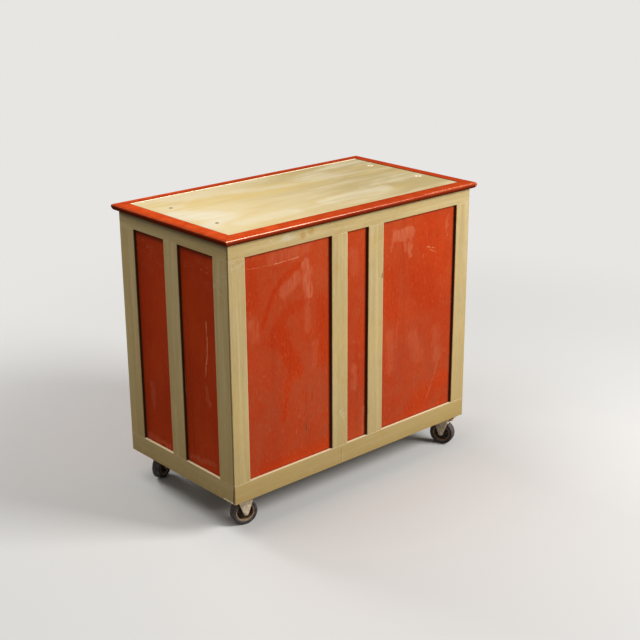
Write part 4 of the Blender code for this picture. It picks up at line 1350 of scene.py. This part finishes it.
def brake_pedal(corner):
    """Toe pedal with its hole, the shoe that meets the tread, and the pin in the fork."""
    pivot = moved(*JOINTS[f"{corner}_brake"]["pos_m"]) @ caster_home(corner).to_3x3().to_4x4()
    bm = bmesh.new()
    tip = arc((PEDAL_LENGTH - PEDAL_TIP, PEDAL_HALF - PEDAL_TIP), PEDAL_TIP, 0, 90)
    toe = mirrored(tip + [(0.0, PEDAL_HALF)])
    hole = hole_outline((PEDAL_LENGTH - PEDAL_HOLE_INSET, 0.0), PEDAL_HOLE, PIN_STEPS)
    add_sheet(bm, [toe, hole], PEDAL_THICKNESS, PEDAL_EASE, pivot @ spun(-PEDAL_RISE, "Y"))
    shoe = mirrored([(SHOE_LENGTH, PEDAL_HALF), (0.0, PEDAL_HALF)])
    add_sheet(bm, [shoe], PEDAL_THICKNESS, SHOE_EASE, pivot @ spun(SHOE_DROP, "Y"))
    add_turned(bm, mirrored(BARREL_SIDE), pivot @ ACROSS, AXLE_STEPS)
    add_turned(bm, mirrored(PIN_SIDE), pivot @ ACROSS, PIN_STEPS)
    steel_piece(f"brake_pedal_{corner}", "toe", bm, f"{corner}_pedal")


# Materials
CREAM_ALONG = {
    "X": cream_paint("cream_along", "X", back_rail_marks),
    "Y": cream_paint("cream_across", "Y", corner_marks),
    "Z": cream_paint("cream_upright", "Z", stile_marks),
}
EDGING_PAINT = {"X": edging_paint("edging_along", "X"), "Y": edging_paint("edging_across", "Y")}
BACK_RED = panel_paint("red_back", BACK_MARKS, "Y", BACK_PANEL, 0.54)
END_RED = panel_paint("red_end", END_MARKS, "X", END_PANEL, 0.07)
FRONT_PAINT = front_paint("red_front")
BOX_SIDES = box_wood("bare_sides", "Y")
BOX_ACROSS = box_wood("bare_across", "X")
GRID_ALONG = grid_wood("bare_along", "X")
GRID_UPRIGHT = grid_wood("bare_upright", "Z")
PULL_STEEL = plated_steel("pull_dark_steel", STEEL_DARK, STEEL_GREY, metal=0.85, rust=0.0, splashes=0.0)
ZINC = plated_steel("caster_zinc", ZINC_TAN, ZINC_PALE, metal=0.15, rust=0.22, splashes=0.9)
RUBBER = tyre_rubber("tyre_dusty")
WHEEL_WEB = wheel_iron("wheel_web", WEB_DARK, WEB_BROWN, rust=0.20)
WHEEL_RIM = wheel_iron("wheel_rim", RIM_BROWN, RIM_TAN, rust=0.85)

# Boards of the case
for level in ("top", "bottom"):
    dress(f"back_{level}_rail", CREAM_ALONG["X"])
    for side in SIDES:
        dress(f"{side}_{level}_rail", CREAM_ALONG["Y"])
for side in SIDES:
    for upright in ("back_post", "front_stile", "back_mid_stile"):
        dress(f"{upright}_{side}", CREAM_ALONG["Z"])
    dress(f"{side}_mid_stile", CREAM_ALONG["Z"])
    dress(f"end_board_{side}", END_RED)
    dress(f"partition_{side}", GRID_UPRIGHT)
for board in ("front_rail", "bottom_board", "shelf_upper", "shelf_lower"):
    dress(board, GRID_ALONG)
dress("back_board", BACK_RED)

# Pieces drawn again in finer detail
top_board()
edging_length("back", EDGE_X, EDGE_Y, 0.0, "X")
edging_length("front", EDGE_X, EDGE_Y, math.pi, "X")
edging_length("left", EDGE_Y, EDGE_X, math.pi / 2, "Y")
edging_length("right", EDGE_Y, EDGE_X, -math.pi / 2, "Y")
SCREW = screw_head(SCREW_RADIUS, SCREW_HEIGHT)
for cell in CELLS:
    drawer(cell)
    cup_pull(cell, SCREW)
SCREW.free()
for corner in CORNERS:
    caster_plate(corner)
    caster_fork(corner)
    caster_wheel(corner)
    if corner in BRAKED:
        brake_pedal(corner)

# Stage: a pale floor that fades into a pale surround, four lamps and the camera
STAGE_COLOUR = (0.80, 0.79, 0.77)
FLOOR_PALE = (0.64, 0.63, 0.61)
FLOOR_BOUNCE = 0.20
SURROUND_LIGHT = 0.20
FLOOR_SIZE = 40.0
FADE_START = 0.9
FADE_END = 2.8
LAMP_TARGET = Vector((0.0, 0.0, 0.45))

# Lamps: name, place, width and power
LAMPS = (
    ("key", (-2.3, 3.4, 3.0), 2.0, 262.0),
    ("overhead", (1.4, -0.3, 3.6), 1.8, 40.0),
    ("fill", (4.5, 1.0, 2.6), 2.6, 12.0),
    ("front_fill", (0.6, -4.5, 3.0), 2.6, 150.0),
)

# The photograph's viewpoint
CAMERA_PLACE = (2.5034, 2.8956, 1.8433)
CAMERA_AZIMUTH = math.radians(138.244)
CAMERA_ELEVATION = math.radians(19.425)
CAMERA_ROLL = math.radians(-0.332)
CAMERA_LENS = 71.036
CAMERA_SENSOR = 36.0


def seen_directly(tree):
    """1 for rays from the camera, a reflection or a see-through surface, 0 for rays that light the object."""
    path = tree.nodes.new("ShaderNodeLightPath")
    value = path.outputs["Is Camera Ray"]
    for name in ("Is Glossy Ray", "Is Transmission Ray"):
        most = tree.nodes.new("ShaderNodeMath")
        most.operation = "MAXIMUM"
        tree.links.new(value, most.inputs[0])
        tree.links.new(path.outputs[name], most.inputs[1])
        value = most.outputs[0]
    return value


def stage_floor():
    bm = bmesh.new()
    bmesh.ops.create_grid(bm, x_segments=4, y_segments=4, size=FLOOR_SIZE / 2)
    mesh = bpy.data.meshes.new("floor")
    bm.to_mesh(mesh)
    bm.free()
    linked("floor", mesh)
    shader = Shader("floor")
    tree = shader.tree
    tree.nodes.remove(shader.surface)
    pale = shader.add("ShaderNodeBsdfDiffuse", {"Color": FLOOR_PALE}).outputs[0]
    dim = shader.add("ShaderNodeBsdfDiffuse", {"Color": (FLOOR_BOUNCE,) * 3}).outputs[0]
    far = shader.add("ShaderNodeEmission", {"Color": STAGE_COLOUR, "Strength": 1.0}).outputs[0]
    fade = shader.measure("DISTANCE", shader.place, (0.0, 0.0, 0.0)).span(FADE_START, FADE_END)
    seen = shader.add("ShaderNodeMixShader", {0: fade, 1: pale, 2: far}).outputs[0]
    both = shader.add("ShaderNodeMixShader", {0: seen_directly(tree), 1: dim, 2: seen}).outputs[0]
    tree.links.new(both, tree.nodes["Material Output"].inputs["Surface"])
    mesh.materials.append(shader.material)


def surround():
    world = bpy.data.worlds.new("surround")
    bpy.context.scene.world = world
    world.use_nodes = True
    tree = world.node_tree
    background = tree.nodes["Background"]
    background.inputs["Color"].default_value = (*STAGE_COLOUR, 1.0)
    strength = tree.nodes.new("ShaderNodeMapRange")
    strength.inputs["To Min"].default_value = SURROUND_LIGHT
    strength.inputs["To Max"].default_value = 1.0
    tree.links.new(seen_directly(tree), strength.inputs["Value"])
    tree.links.new(strength.outputs[0], background.inputs["Strength"])


def lamp(name, place, size, power):
    light = bpy.data.lights.new(name, "AREA")
    light.shape = "SQUARE"
    light.size = size
    light.energy = power
    obj = linked(name, light)
    obj.location = place
    obj.rotation_euler = (LAMP_TARGET - Vector(place)).to_track_quat("-Z", "Y").to_euler()


def camera():
    """A camera turned about the vertical, raised and rolled."""
    x, y, flat = math.cos(CAMERA_AZIMUTH), math.sin(CAMERA_AZIMUTH), math.cos(CAMERA_ELEVATION)
    level = Vector((x, y, 0.0))
    back = Vector((y * flat, -x * flat, math.sin(CAMERA_ELEVATION)))
    rise = back.cross(level)
    right = math.cos(CAMERA_ROLL) * level + math.sin(CAMERA_ROLL) * rise
    up = math.cos(CAMERA_ROLL) * rise - math.sin(CAMERA_ROLL) * level
    data = bpy.data.cameras.new("camera")
    data.lens = CAMERA_LENS
    data.sensor_width = CAMERA_SENSOR
    obj = linked("camera", data)
    obj.matrix_world = moved(*CAMERA_PLACE) @ Matrix((right, up, back)).transposed().to_4x4()
    bpy.context.scene.camera = obj


stage_floor()
surround()
for settings in LAMPS:
    lamp(*settings)
camera()
bpy.context.scene.view_settings.view_transform = "Standard"
